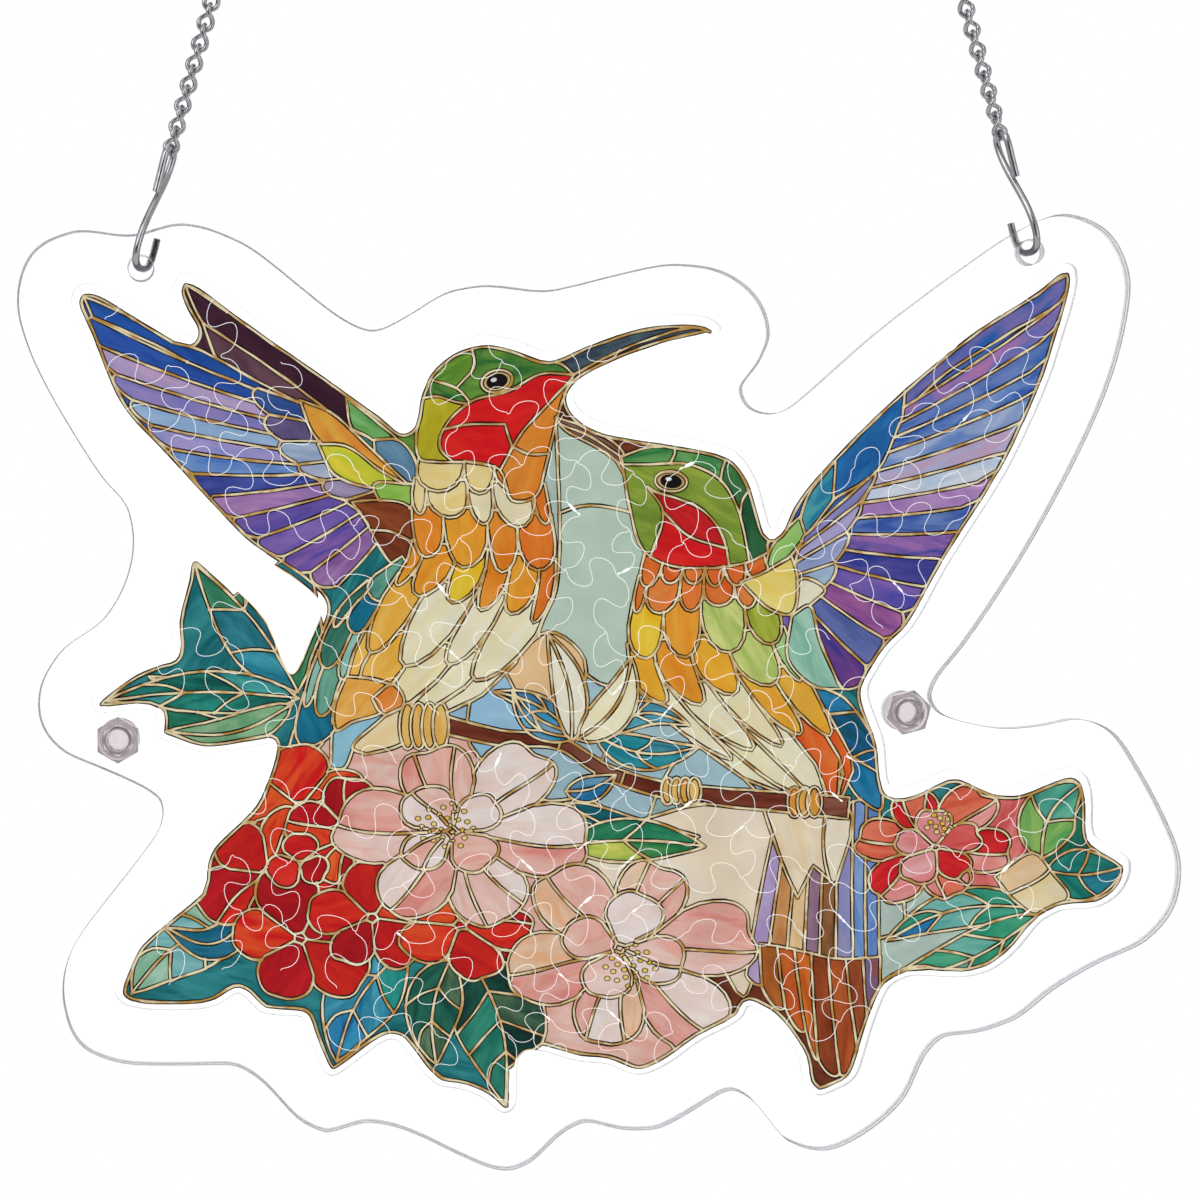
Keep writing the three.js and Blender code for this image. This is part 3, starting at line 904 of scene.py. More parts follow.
class Drawing:
    """The picture, as regions from the lowest to the uppermost."""

    def __init__(self, edge: np.ndarray) -> None:
        """Draws everything in order, within the picture's edge."""
        self.regions: list[Region] = []
        self.random = np.random.default_rng(SEED)
        self.ground(inset(edge, Picture.margin))
        for part in (self.background, self.far_wing, self.left_wing, self.right_wing, self.tail,
                     self.side_leaves, self.left_body, self.right_body, self.branch, self.left_head,
                     self.right_head, self.lower_leaves, self.blossoms):
            part()

    def add(self, outline: np.ndarray, tints: str | Sequence[str], **settings: object) -> Region:
        """Adds a region. Tints can be one string of pairs with spaces between."""
        pairs = tuple(tints.split()) if isinstance(tints, str) else tuple(tints)
        region = Region(np.asarray(outline, float), pairs, **settings)
        self.regions.append(region)
        return region

    def patch(self, points: Points, corners: str, tints: str, cuts: Sequence[Points] = (),
              **settings: object) -> None:
        """Adds a smooth region with corners, and with cuts that each run smoothly through points."""
        self.add(cornered(points, corners), tints, cuts=[spline(cut, False) for cut in cuts], **settings)

    # -- makers of repeated shapes

    def fan(self, roots: Points, tips: Points, tints: str, bulge: float, bend: float = 0.0,
            lean: float = 0.0) -> None:
        """Adds a fan of blades between two curves.

        Blade edges join points at equal shares of the two curves, each as an arc that bends
        aside, and a blade's end is half a sine wave over the gap between its edges.

        Args:
            roots: Points along the inner curve.
            tips: Points along the outer curve, where neighbouring blades part.
            tints: One pair of colours for each blade.
            bulge: The end's height as a share of its width.
            bend: How far an edge bends aside, as a share of its length.
            lean: How far the end's crest leans to the next blade, as a share of its width.
        """
        pairs = tints.split()
        count = len(pairs)
        shares = np.linspace(0, 1, count + 1)
        inner = along(spline(roots, False, 12), shares)
        outer = along(spline(tips, False, 12), shares)
        t = np.linspace(0, 1, 9)[:, None]
        for i, pair in enumerate(pairs):
            edges = []
            for k in (i, i + 1):
                way = outer[k] - inner[k]
                middle = (outer[k] + inner[k]) / 2 + bend * quarter_turn(way)
                edges.append((1 - t) ** 2 * inner[k] + 2 * t * (1 - t) * middle + t**2 * outer[k])
            across = outer[i + 1] - outer[i]
            out = (outer[i] + outer[i + 1] - inner[i] - inner[i + 1])
            out /= np.linalg.norm(out)
            height = np.sin(math.pi * t) ** 0.8 * bulge * np.linalg.norm(across)
            tip = outer[i] + across * (t + lean * np.sin(math.pi * t)) + out * height
            self.add(np.vstack([edges[0][:-1], tip[:-1], edges[1][::-1]]), [pair])

    def scales(self, left: Points, right: Points, rows: Sequence[float], columns: Sequence[int],
               choose: Callable[[float, float], str], depth: float = 0.45) -> None:
        """Adds rows of overlapping round-ended panes between two side curves, the lowest first.

        A point at share s across and t down lies on the straight line between the two curves'
        points at t. Each pane keeps its sides at constant s, and its end is an ellipse's half.

        Args:
            left: Points down the left side.
            right: Points down the right side.
            rows: The shares down at which the rows start, and the last one's end.
            columns: Panes in each row.
            choose: Gives the pair of colours at a share across and down.
            depth: The round end's height as a share of its row's.
        """
        sides = (spline(left, False, 10), spline(right, False, 10))

        def place(s: np.ndarray, t: np.ndarray) -> np.ndarray:
            a, b = (along(side, np.clip(t, 0, 1)) for side in sides)
            return a + (b - a) * s[:, None]

        for row in range(len(columns) - 1, -1, -1):
            start, stop = rows[row], rows[row + 1]
            count = columns[row]
            offset = 0.5 / count if row % 2 else 0.0
            cells = np.arange(count + (1 if offset else 0) + 1) / count - offset
            cells[1:-1] += self.random.uniform(-0.16, 0.16, len(cells) - 2) / count
            cells = np.clip(cells, 0, 1)
            for a, b in zip(cells[:-1], cells[1:]):
                turn = np.linspace(0, math.pi, 9)
                drop = (stop - start) * depth * self.random.uniform(0.7, 1.3)
                s = np.concatenate([[a, a], (a + b) / 2 - (b - a) / 2 * np.cos(turn), [b, b]])
                t = np.concatenate([[start, (start + stop) / 2], stop - drop + 2 * drop * np.sin(turn),
                    [(start + stop) / 2, start]])
                self.add(place(s, t), [choose((a + b) / 2, (start + stop) / 2)])

    def leaf(self, base: tuple[float, float], tip: tuple[float, float], width: float, bow: float,
             veins: int, tints: str, fullness: float = 0.8) -> None:
        """Adds a pointed leaf with a midrib and side veins.

        The half width is the greatest at a third of the way and follows a sine wave of the
        distance raised to a power. The midrib is an arc.

        Args:
            base: Where the stalk joins.
            tip: The point.
            width: The greatest width.
            bow: How far the midrib bends aside, as a share of its length.
            veins: Side veins on each half.
            tints: Pairs of colours for the panes.
            fullness: Below 1 the widest place moves to the base.
        """
        start, end = np.array(base, float), np.array(tip, float)
        way = end - start
        aside = quarter_turn(way)
        t = np.linspace(0, 1, 15)
        rib = start + way * t[:, None] + aside * bow * np.sin(math.pi * t)[:, None]
        half = width / 2 * np.sin(math.pi * t**fullness) ** 0.85
        normal = left_normals(rib, False)
        upper, lower = rib + normal * half[:, None], rib - normal * half[:, None]
        cuts = [rib]
        for k in range(veins):
            at = 0.16 + 0.62 * (k + 0.4) / max(veins, 1)
            for side in (1, -1):
                ahead = np.array([at, at + 0.09, at + 0.2 + 0.03 * side])
                reach = np.array([0.0, 0.5, 1.15]) * side
                place = along(rib, ahead)
                wide = np.interp(ahead, t, half) * reach
                cuts.append(spline(place + normal[np.clip((ahead * 14).astype(int), 0, 14)] * wide[:, None],
                    False, 3))
        self.add(np.vstack([upper, lower[1:-1][::-1]]), tints, cuts=cuts)

    def petals(self, centre: tuple[float, float], count: int, radius: float, width: float,
               tints: str, squash: float = 1.0, tilt: float = 0.0, turn: float = 0.0,
               order: Sequence[int] | None = None, notch: float = 0.08, inner: float = 0.1,
               veins: Sequence[Sequence[float]] = ((0.0,), (-0.3, 0.35), (0.15,))) -> None:
        """Adds a ring of rounded petals about a centre.

        A petal's edge in polar form is its radius times the fourth root of a cosine of the angle
        over its half width, with a shallow notch at the middle. The ring is squashed along one
        direction, as a flower seen aslant.

        Args:
            centre: The middle of the flower.
            count: How many petals.
            radius: From the middle to a petal's end.
            width: A petal's angle in degrees.
            tints: Pairs of colours, taken in turn.
            squash: The ring's height as a share of its width.
            tilt: The direction of the ring's greatest width, in degrees.
            turn: The first petal's direction in degrees.
            order: The order in which the petals are laid.
            notch: The notch's depth as a share of the radius.
            inner: Where a petal begins, as a share of the radius.
            veins: The lines that part a petal, as shares of its half width, taken in turn.
        """
        middle = np.array(centre, float)
        c, s = math.cos(math.radians(tilt)), math.sin(math.radians(tilt))
        lay = np.array([[c, s], [-s, c]])
        pairs = tints.split()
        for k in order or range(count):
            main = math.radians(turn + 360 * k / count)
            grow = 1 + 0.1 * math.sin(2.3 * k + turn)
            half = math.radians(width / 2)
            a = np.linspace(-1, 1, 21)
            edge = radius * grow * np.maximum(np.cos(a * math.pi / 2), 0) ** 0.3
            edge *= 1 - notch * np.exp(-(a * 5) ** 2) + 0.02 * np.sin(7 * a + k)
            edge = np.maximum(edge, inner * radius)
            angle = main + a * half
            ring = np.column_stack([edge * np.cos(angle), edge * np.sin(angle) * squash]) @ lay
            cuts = []
            for share in veins[k % len(veins)]:
                far = np.linspace(0.12, 1.05, 7)[:, None] * radius * grow
                veer = main + half * (share + 0.16 * np.sin(np.linspace(0.4, 3.4, 7) + k))[:, None]
                cuts.append(spline(np.hstack([far * np.cos(veer), far * np.sin(veer) * squash]) @ lay + middle,
                    False, 3))
            self.add(middle + ring, pairs[k % len(pairs):] + pairs[:k % len(pairs)], cuts=cuts)

    def stamens(self, centre: tuple[float, float], count: int, spread: float) -> None:
        """Adds gold grains with dark rims about a flower's middle, as a sunflower's seeds lie.

        Grain k stands at the square root of k from the middle, turned by the golden angle.
        """
        for k in range(count):
            far = spread * math.sqrt((k + 0.5) / count)
            turn = GOLDEN_ANGLE * k
            x, y = centre[0] + far * math.cos(turn), centre[1] + 0.8 * far * math.sin(turn)
            for size, tint in ((3.6, "3a1a08/5a3010"), (2.5, "f6c83c/fff0a0")):
                round_ = np.linspace(0, TAU, 9)[:-1]
                self.add(np.column_stack([x + size * np.cos(round_), y + size * 0.8 * np.sin(round_)]), tint,
                    lined=False)

    def eye(self, x: float, y: float, wide: float, high: float, tilt: float) -> None:
        """Adds a bird's eye: a pale rim, a dark ball and a glint."""
        turn = np.linspace(0, TAU, 21)[:-1]
        c, s = math.cos(math.radians(tilt)), math.sin(math.radians(tilt))
        for grow, tint, dx, dy in ((1.45, "c8a058/f0dc9c", 0, 0), (1.0, "0c0a0c/201818", 0, 0),
                                   (0.28, "dfe6ee/ffffff", -0.25, -0.3)):
            across = wide * grow * np.cos(turn) + dx * wide
            up = high * grow * np.sin(turn) + dy * high
            self.add(np.column_stack([x + across * c - up * s, y + across * s + up * c]), tint, lined=grow > 1)

    # -- the parts of the picture

    def ground(self, rim: np.ndarray) -> None:
        """Glass that fills the picture up to its rim, in the broad colours of what lies on it."""
        tints = ("2c5cb8/5c84d0", "6a58b8/9478c4", "3a1a2a/5c3a4c", "3c8430/7cac3c", "0c6c74/3c9ca0",
            "fbecc8/fff6dc", "b0101c/d8241c", "f4b4a4/fbdcd0", "b4ccc0/cfe2d6", "0c5c4c/2c8c6c", "f08c2c/f8ac48",
            "2c3c4c/4c6474", "9cc9e0/b4d8e8", "e05858/f4948c", "6a2e1c/8c4428")
        spots = ((130, 340, 0), (180, 400, 0), (220, 470, 1), (300, 540, 1), (340, 580, 1), (230, 320, 2),
            (320, 400, 2), (440, 380, 3), (640, 345, 11), (700, 330, 11), (330, 600, 4), (300, 700, 4),
            (360, 520, 14), (210, 600, 4), (150, 690, 9), (200, 725, 9), (600, 500, 8), (600, 620, 8),
            (590, 720, 12), (520, 700, 12), (700, 760, 12), (700, 460, 3), (600, 430, 14), (1000, 340, 0),
            (960, 450, 0), (920, 560, 1), (880, 650, 1), (850, 480, 0), (870, 730, 4), (900, 780, 4), (300, 820, 6),
            (260, 900, 6), (300, 960, 6), (380, 960, 6), (470, 950, 6), (440, 810, 7), (540, 840, 7), (640, 960, 7),
            (700, 930, 7), (600, 1040, 7), (190, 950, 4), (350, 1030, 4), (480, 1050, 9), (430, 1010, 9),
            (700, 860, 5), (760, 930, 5), (830, 950, 14), (880, 900, 8), (840, 1060, 14), (950, 850, 13),
            (1080, 850, 9), (960, 950, 9), (1040, 900, 5), (905, 920, 8))
        self.add(rim, tints, spots=spots)

    def background(self) -> None:
        """Pale glass between the birds, the cream panels behind the tail and the blue below."""
        self.patch([(556, 420), (590, 434), (618, 462), (640, 520), (646, 560), (634, 620), (632, 660), (612, 690),
            (560, 690), (538, 640), (556, 590), (560, 540)], "a", "cfe2d2/c4dccb d6e6d8/c8decf", grain=80.0,
            streak=(60.0, 30.0), cuts=[[(540, 520), (590, 505), (660, 520)]])
        self.patch([(470, 694), (512, 664), (545, 640), (600, 684), (640, 690), (700, 745), (760, 800), (720, 836),
            (640, 838), (590, 800), (540, 800), (470, 745)], "a",
            "9cc9e6/a9d4ee a9ccd6/b6d6dc 94b8b8/a4c8c4 b2d4de/a4c4d0", grain=15.0, cuts=[[(500, 640), (560, 700),
            (640, 716), (690, 730)], [(600, 690), (610, 740), (580, 800)], [(690, 740), (660, 790), (640, 850)]],
            spots=((500, 710, 0), (560, 690, 1), (640, 700, 1), (600, 770, 3), (700, 780, 1), (680, 815, 2)))
        self.patch([(505, 672), (548, 632), (585, 660), (572, 730), (530, 712)], "ad", "f8cc90/fad8a8", grain=40.0)
        self.patch([(640, 822), (700, 806), (770, 808), (800, 850), (790, 900), (762, 960), (745, 1000), (700, 930),
            (640, 900), (575, 890), (570, 860), (610, 840)], "a", "fae8cc/fdf1de f8dfc0/fbecd4", grain=60.0,
            streak=(50.0, 24.0))
        self.patch([(330, 768), (338, 712), (384, 694), (392, 716), (356, 744), (344, 768)], "a", "8fcce4/a4d8ec")
        self.patch([(866, 880), (908, 900), (910, 935), (866, 946)], "abcd", "b8ccc4/c6d8d0")

    def far_wing(self) -> None:
        """The dark wing behind the left bird."""
        self.patch([(185, 284), (250, 326), (320, 374), (372, 424), (356, 440), (300, 402), (240, 352), (204, 324)],
            "a", "2c1424/4a2036 50283a/3a1a30", grain=33.0)
        self.patch([(204, 324), (262, 362), (332, 414), (362, 442), (330, 440), (296, 404), (246, 388), (218, 360)],
            "a", "5c3a4c/74505c 442a3e/6c4a5c", grain=33.0)
        self.patch([(346, 398), (372, 418), (398, 442), (372, 440), (352, 428)], "a", "5cac58/8ccc7c")
        self.patch([(350, 428), (372, 440), (384, 460), (366, 456)], "ac", "3c7468/5c9c8c")
        self.patch([(374, 440), (398, 440), (416, 462), (416, 486), (394, 474), (376, 456)], "a",
            "4f7ca4/74a0bc 5888b0/86aec8")

    def left_wing(self) -> None:
        """The spread wing of the left bird."""
        self.patch([(84, 296), (150, 326), (216, 358), (262, 384), (302, 404), (282, 420), (240, 396), (170, 352),
            (94, 318)], "aei", "1c4ca4/2c64c0", grain=28.0)
        self.fan([(262, 392), (272, 414), (284, 440), (298, 466), (322, 482), (340, 498), (358, 510), (384, 534)],
            [(93, 318), (105, 352), (124, 386), (148, 420), (172, 449), (193, 475), (216, 499), (238, 520),
            (262, 540), (286, 558), (312, 573), (338, 586)],
            "2450ac/3c6cc8 b0a4dc/cfb0d8 8484cc/a894d4 94b8e6/b0ceee 949cdc/bca8e0 5484d0/86aae2 "
            "343f98/5464bc 9270bc/cc98cc 5c50ac/8468bc 6e5cb8/9474c4 5850b4/a070b8 8c5ca4/b88cc4", 0.3, -0.03)
        self.fan([(304, 404), (322, 430), (338, 452), (352, 470), (378, 490)], [(258, 388), (270, 416), (282, 440),
            (298, 462), (322, 478), (346, 500)],
            "2f4f94/4c70b4 5c5080/7c6c9c 94acd0/c4d4ea a4b4d4/d0d8ea 9084ac/b4a4c8", 0.35)
        self.patch([(300, 400), (330, 412), (368, 446), (410, 486), (372, 474), (332, 452), (312, 432)], "ad",
            "f0963a/f8c04c", grain=40.0)
        self.patch([(318, 444), (346, 446), (380, 470), (412, 488), (372, 488), (334, 474)], "ad",
            "f4e044/c4d83a e6dc48/b8d040", grain=30.0)
        self.patch([(374, 484), (414, 484), (412, 506), (396, 508), (378, 498)], "b", "8cc84c/b4dc6c")
        self.patch([(352, 502), (380, 500), (408, 506), (420, 530), (412, 556), (396, 566), (380, 548), (366, 522)],
            "a", "843e20/a4542c 6c3018/94482a", cuts=[[(366, 530), (392, 532), (424, 548)]])

    def right_wing(self) -> None:
        """The spread wing of the right bird."""
        self.patch([(1078, 270), (1074, 292), (1010, 334), (950, 372), (904, 414), (902, 396), (936, 364),
            (982, 326), (1040, 290)], "ae", "1c6cbc/3c84cc 2c68bc/8c7cc0", grain=-36.0)
        self.fan([(904, 408), (896, 430), (882, 456), (876, 480), (862, 508), (852, 530), (842, 552), (834, 574),
            (826, 590), (812, 602), (794, 616)], [(1073, 296), (1062, 340), (1048, 380), (1032, 416), (1014, 452),
            (994, 486), (970, 520), (948, 552), (926, 588), (902, 618), (882, 646), (868, 668), (846, 690)],
            "6f7ccc/c884bc 3c70c4/7c94d4 3464bc/88a8e0 6f94d8/b4c4e8 b8c8ec/d8a8c8 c8dcf4/eef2fa "
            "a87cc4/d0a8dc 3c60b8/7c9cd8 b47cc0/3c4cac 2c3c9c/5c58ac 5450b4/8c6cc0 8c4c9c/bc74b0 "
            "5464ac/7c88c8 4c3c98/8c4c90", 0.28, 0.03)
        self.patch([(903, 394), (906, 416), (880, 470), (834, 500), (836, 462), (868, 426)], "abd",
            "1c70bc/2c84cc 1860ac/3080c4", grain=-50.0)
        self.patch([(838, 460), (836, 500), (808, 536), (802, 528), (810, 496)], "abc", "1c84b4/5cb4b4",
            grain=-50.0)
        self.patch([(802, 516), (808, 536), (788, 560), (766, 572), (774, 546)], "abd", "94cc6c/b4dc84")
        self.fan([(806, 536), (800, 552), (796, 572), (796, 590)], [(878, 472), (862, 504), (848, 536), (836, 566),
            (822, 592)], "7c7cc0/a4a0d4 c4bce8/aca4dc b4b8e4/8ca4d4 9cbcdc/bcd4e8", 0.22)
        self.patch([(794, 590), (806, 578), (828, 590), (812, 606), (794, 616)], "d", "fdf0cc/fffbe8")

    def tail(self) -> None:
        """The long tail of the right bird."""
        self.fan([(776, 830), (800, 824), (824, 812), (848, 806), (868, 800), (884, 796)], [(748, 978), (776, 992),
            (800, 1000), (826, 1020), (846, 1030), (862, 1020), (874, 1002), (884, 990)],
            "b49cd0/c8b4dc c8844c/e0a468 f4c88c/fae0b4 946c88/a888a4 7c4c30/a06c40 a4a0cc/8c94cc "
            "6c94d4/94b4e4 5c84c8/7ca4dc", 0.2, 0.02)
        self.fan([(762, 946), (786, 950), (812, 956), (838, 962), (860, 962), (884, 960)], [(764, 990), (784, 1008),
            (808, 1034), (832, 1080), (852, 1072), (866, 1040), (876, 1008), (884, 996)],
            "a4541c/c87830 c8501c/e0702c d4601c/f08c34 843418/b05428 a44420/c8642c 8c3c1c/b45c30 " "9c5040/6c7cbc",
            0.3, 0.02)
        self.patch([(764, 806), (852, 812), (854, 840), (838, 888), (816, 868), (800, 900), (786, 870)], "acdef",
            "fdeccc/fff6e2 fae0b8/fdf0d4", cuts=[[(800, 800), (806, 840), (800, 880)], [(830, 800), (826, 850),
            (836, 900)]])

    def side_leaves(self) -> None:
        """Leaves left of the birds, and the teal feathers along the left bird's side."""
        self.leaf((298, 692), (196, 564), 76, 0.06, 2, "1c7c94/4cb4c8 0c6c5c/4c9c6c 0f6878/3c94a4")
        self.leaf((296, 692), (150, 676), 40, -0.1, 2, "0c7484/1c5c74 4c6480/6c84a0 0c6874/3ca0ac")
        self.leaf((298, 698), (108, 700), 42, 0.04, 2, "0c5c54/2c9c8c 0c7c84/5cc4bc")
        self.leaf((292, 704), (166, 730), 34, -0.12, 0, "6cac7c/a4d0a4 5ca478/94c894")
        side = [(402, 556), (368, 580), (340, 606), (318, 650), (304, 692), (284, 764)]
        inner = [(412, 570), (388, 600), (364, 650), (346, 692), (338, 724), (300, 766)]
        tints = ("0c4450/1c6470", "8cc8b8/b4dcd0", "3c8c7c/7cbca4", "0c5c54/3c8474", "0c6484/1c84a4",
            "2c6c5c/4c947c")
        self.scales(side, inner, [0.0, 0.17, 0.34, 0.52, 0.7, 0.86, 1.0], [1, 2, 2, 2, 1, 2], lambda s,
            t: tints[int(t * 11 + s * 3) % 6], 0.3)

    def left_body(self) -> None:
        """The left bird's breast and belly."""
        left = [(420, 452), (412, 490), (412, 520), (410, 552), (386, 590), (362, 636), (346, 670), (344, 694)]
        right = [(540, 452), (546, 490), (554, 530), (556, 576), (548, 612), (524, 652), (490, 690), (440, 716)]
        neck, rust = ("fff6d4/fdeec0", "fbe08c/fdeab0"), ("f08020/f49c38", "ec7424/f49034")
        warm = ("f89c28/fbb840", "fdc81c/fde04c", "f0861c/f8a43c")
        pale = ("fff4cc/fffae0", "fdeeb4/fff6d0", "fdf2c4/fffbe4")

        def choose(s: float, t: float) -> str:
            if t < 0.2:
                return rust[int(t * 20) % 2] if s > 0.75 else neck[int(s * 7 + t * 9) % 2]
            if t < 0.46:
                return rust[1] if s > 0.8 else warm[int(s * 5 + t * 7) % 3]
            return "fbb83c/fdcc64" if s < 0.3 else pale[int(s * 6 + t * 5) % 3]

        self.scales(left, right, [0.0, 0.1, 0.2, 0.34, 0.48, 0.7, 1.0], [3, 4, 4, 5, 4, 4], choose)
        self.patch([(346, 676), (378, 680), (396, 690), (382, 712), (352, 722), (336, 730), (334, 706)], "a",
            "f8ac44/fbc468")
        self.patch([(372, 698), (392, 684), (404, 700), (394, 716), (380, 712)], "a", "f08a34/f8b05c")
        self.patch([(384, 716), (412, 706), (424, 728), (398, 746), (366, 754), (352, 748)], "ace", "fbe0a8/fdecc4")

    def right_body(self) -> None:
        """The right bird's breast, belly, flank and wing root."""
        self.patch([(786, 636), (820, 684), (848, 700), (876, 740), (886, 790), (884, 812), (862, 800), (842, 770),
            (810, 730), (780, 690)], "ae", "0c6c74/1c8ca4 0c5460/1c6cac 1c7c6c/4ca48c 0c78a8/3c94c4",
            cuts=[[(812, 680), (834, 740), (890, 780)], [(824, 716), (870, 712)], [(846, 764), (874, 752),
            (900, 756)]])
        left = [(646, 552), (636, 590), (628, 640), (634, 680), (664, 718), (712, 756), (760, 788), (806, 802)]
        right = [(766, 556), (776, 590), (786, 626), (800, 660), (826, 706), (850, 744), (856, 776), (842, 804)]
        collar = ("f0702c/f48c3c", "f4843c/f8a050", "ec6424/f08038")
        warm = ("f8ac28/fbc040", "f49420/f8b040", "fdc41c/fddc4c")
        green = ("b8d068/e4ec94", "8cc878/c4e0a0", "98a82c/c0cc50")
        pale = ("fff4cc/fffae0", "fdf0bc/fff8d8", "fdf2c4/fffbe4")

        def choose(s: float, t: float) -> str:
            if t < 0.13:
                return collar[int(s * 9) % 3]
            if t < 0.36:
                return green[int(s * 8 + t * 9) % 3] if s > 0.62 else warm[int(s * 7 + t * 8) % 3]
            if s > 0.7:
                return ("f8ac2c/fbc850", "f49c24/f8b844", "f05c1c/f4803c")[min(int((t - 0.36) * 5), 2)]
            return pale[int(s * 8 + t * 6) % 3]

        self.scales(left, right, [0.0, 0.07, 0.15, 0.27, 0.42, 0.62, 1.0], [6, 5, 4, 4, 5, 4], choose)
        self.patch([(742, 582), (766, 572), (794, 556), (800, 580), (794, 614), (772, 610)], "ac", "fde070/fdec94",
            grain=30.0)
        self.patch([(794, 616), (812, 606), (822, 640), (844, 690), (818, 688), (790, 660)], "ad", "8cc8b0/b4e0cc",
            grain=60.0)

    def branch(self) -> None:
        """The branch under the birds, with their claws."""
        middle = spline([(440, 724), (500, 738), (560, 744), (606, 772), (660, 790), (720, 798), (790, 804),
            (852, 810)], False)
        half = np.interp(np.linspace(0, 1, len(middle)), [0, 0.3, 0.6, 1], [9, 6, 8, 11])[:, None]
        normal = left_normals(middle, False)
        self.add(np.vstack([middle + normal * half, (middle - normal * half)[::-1]]),
            "6c2c1c/8c4430 5c2418/7c3424 7c4030/a06450", cuts=[np.array([middle[k] - normal[k] * 14,
            middle[k] + normal[k] * 14]) for k in (12, 20, 28)], streak=(14.0, 3.0))
        for x, y, tall, wide, many in ((424, 726, 26, 11, 4), (682, 792, 15, 9, 4), (812, 804, 17, 10, 3)):
            for k in range(many):
                turn = np.linspace(0, TAU, 17)[:-1]
                self.add(np.column_stack([x + wide * (k - 1.5) + wide * 0.75 * np.cos(turn),
                    y + tall * 0.9 * np.sin(turn)]), "f4b44c/fbd884 e89c38/f8c468")
        for base, tip, width, bow, tints in (
                ((596, 736), (700, 748), 34, 0.12, "1c8c9c/3ca4b0 2c7c94/5cb0c0"),
                ((604, 736), (690, 726), 26, -0.2, "4ca0bc/7cc0d0 3c8cac/6cb4c8"),
                ((576, 738), (494, 692), 22, 0.1, "3c7cac/6ca8d0 2c94c4/5cb4dc"),
                ((576, 738), (512, 690), 18, -0.2, "5c94bc/8cbcd8 2c8cbc/7cc4e0"),
                ((572, 742), (548, 634), 34, 0.08, "fffbec/fdf4d4"),
                ((578, 740), (632, 658), 40, 0.14, "fdf4c8/fffbe0")):
            self.leaf(base, tip, width, bow, 0 if width > 30 and tints[0] == "f" else 1, tints)

    def left_head(self) -> None:
        """The left bird's head and beak, looking up to the right."""
        self.patch([(556, 362), (600, 342), (650, 328), (716, 323), (680, 329), (640, 342), (604, 358), (570, 376)],
            "adh", "2c3c4c/5c7484 b89860/4c5c68", grain=-20.0, spots=((600, 350, 0), (700, 325, 1)),
            cuts=[[(684, 320), (680, 332)]])
        self.patch([(419, 458), (417, 424), (424, 388), (448, 358), (486, 345), (524, 351), (562, 364), (574, 374),
            (562, 402), (552, 440), (545, 470), (536, 496), (512, 500), (500, 470), (470, 462), (440, 462)], "hp",
            "3c8430/8cb43c 5c7424/a0a83c c4b824/e0d440 e4121c/f02c28 c81018/e4201c f08a28/f4a040 "
            "2c7434/7cac44 fbf0b0/e8e488", spots=((450, 375, 0), (490, 358, 6), (530, 362, 1), (432, 408, 2),
            (430, 438, 2), (472, 386, 7), (520, 400, 3), (480, 420, 4), (470, 444, 3), (545, 400, 5), (530, 450, 5),
            (524, 484, 5), (550, 378, 5), (455, 398, 6)), cuts=[[(574, 374), (540, 374), (510, 390), (470, 402),
            (444, 428), (440, 448), (458, 466)], [(574, 376), (548, 404), (522, 432), (500, 470)], [(410, 402),
            (436, 396), (456, 402), (468, 404)], [(424, 378), (456, 388), (470, 402)], [(470, 340), (474, 366),
            (456, 388)], [(474, 366), (510, 366), (560, 366)], [(414, 432), (428, 426), (446, 424)], [(508, 391),
            (504, 418), (512, 446)], [(440, 430), (470, 424), (505, 424)], [(512, 446), (530, 454), (560, 452)]])
        self.eye(497, 381, 11, 7.5, -16)

    def right_head(self) -> None:
        """The right bird's head and beak, looking up to the left."""
        self.patch([(556, 417), (590, 428), (624, 452), (622, 464), (596, 446), (566, 430)], "ad",
            "7c4c44/a07468 5c2c28/8c5c50", grain=35.0, cuts=[[(550, 420), (590, 436), (630, 462)]])
        self.patch([(622, 456), (652, 446), (690, 443), (728, 456), (754, 486), (766, 520), (770, 552), (750, 562),
            (716, 568), (672, 566), (644, 550), (630, 506)], "agi",
            "3c8c4c/7cbc6c 1c5c3c/4c8c4c 6c9430/a4b848 e4121c/f02c28 c41420/e02828 0c4c34/3c7c4c " "a8b04c/d4cc74",
            spots=((650, 453, 0), (700, 454, 0), (742, 490, 1), (758, 530, 5), (730, 520, 2), (715, 495, 6),
            (680, 478, 6), (650, 470, 2), (632, 490, 3), (650, 520, 3), (680, 520, 4), (700, 545, 3), (660, 550, 4),
            (740, 545, 5), (690, 500, 2)), cuts=[[(616, 464), (650, 464), (690, 464), (722, 480), (740, 510),
            (752, 566)], [(636, 466), (650, 488), (678, 498), (704, 510), (724, 536), (732, 572)], [(688, 464),
            (700, 484), (704, 510)], [(704, 490), (726, 494), (742, 516)], [(728, 456), (724, 468), (722, 480)],
            [(754, 486), (744, 500), (742, 516)], [(648, 486), (664, 512), (650, 560)], [(664, 512), (690, 536),
            (728, 548)], [(672, 436), (676, 452), (670, 464)]])
        self.eye(672, 481, 11, 7, 6)

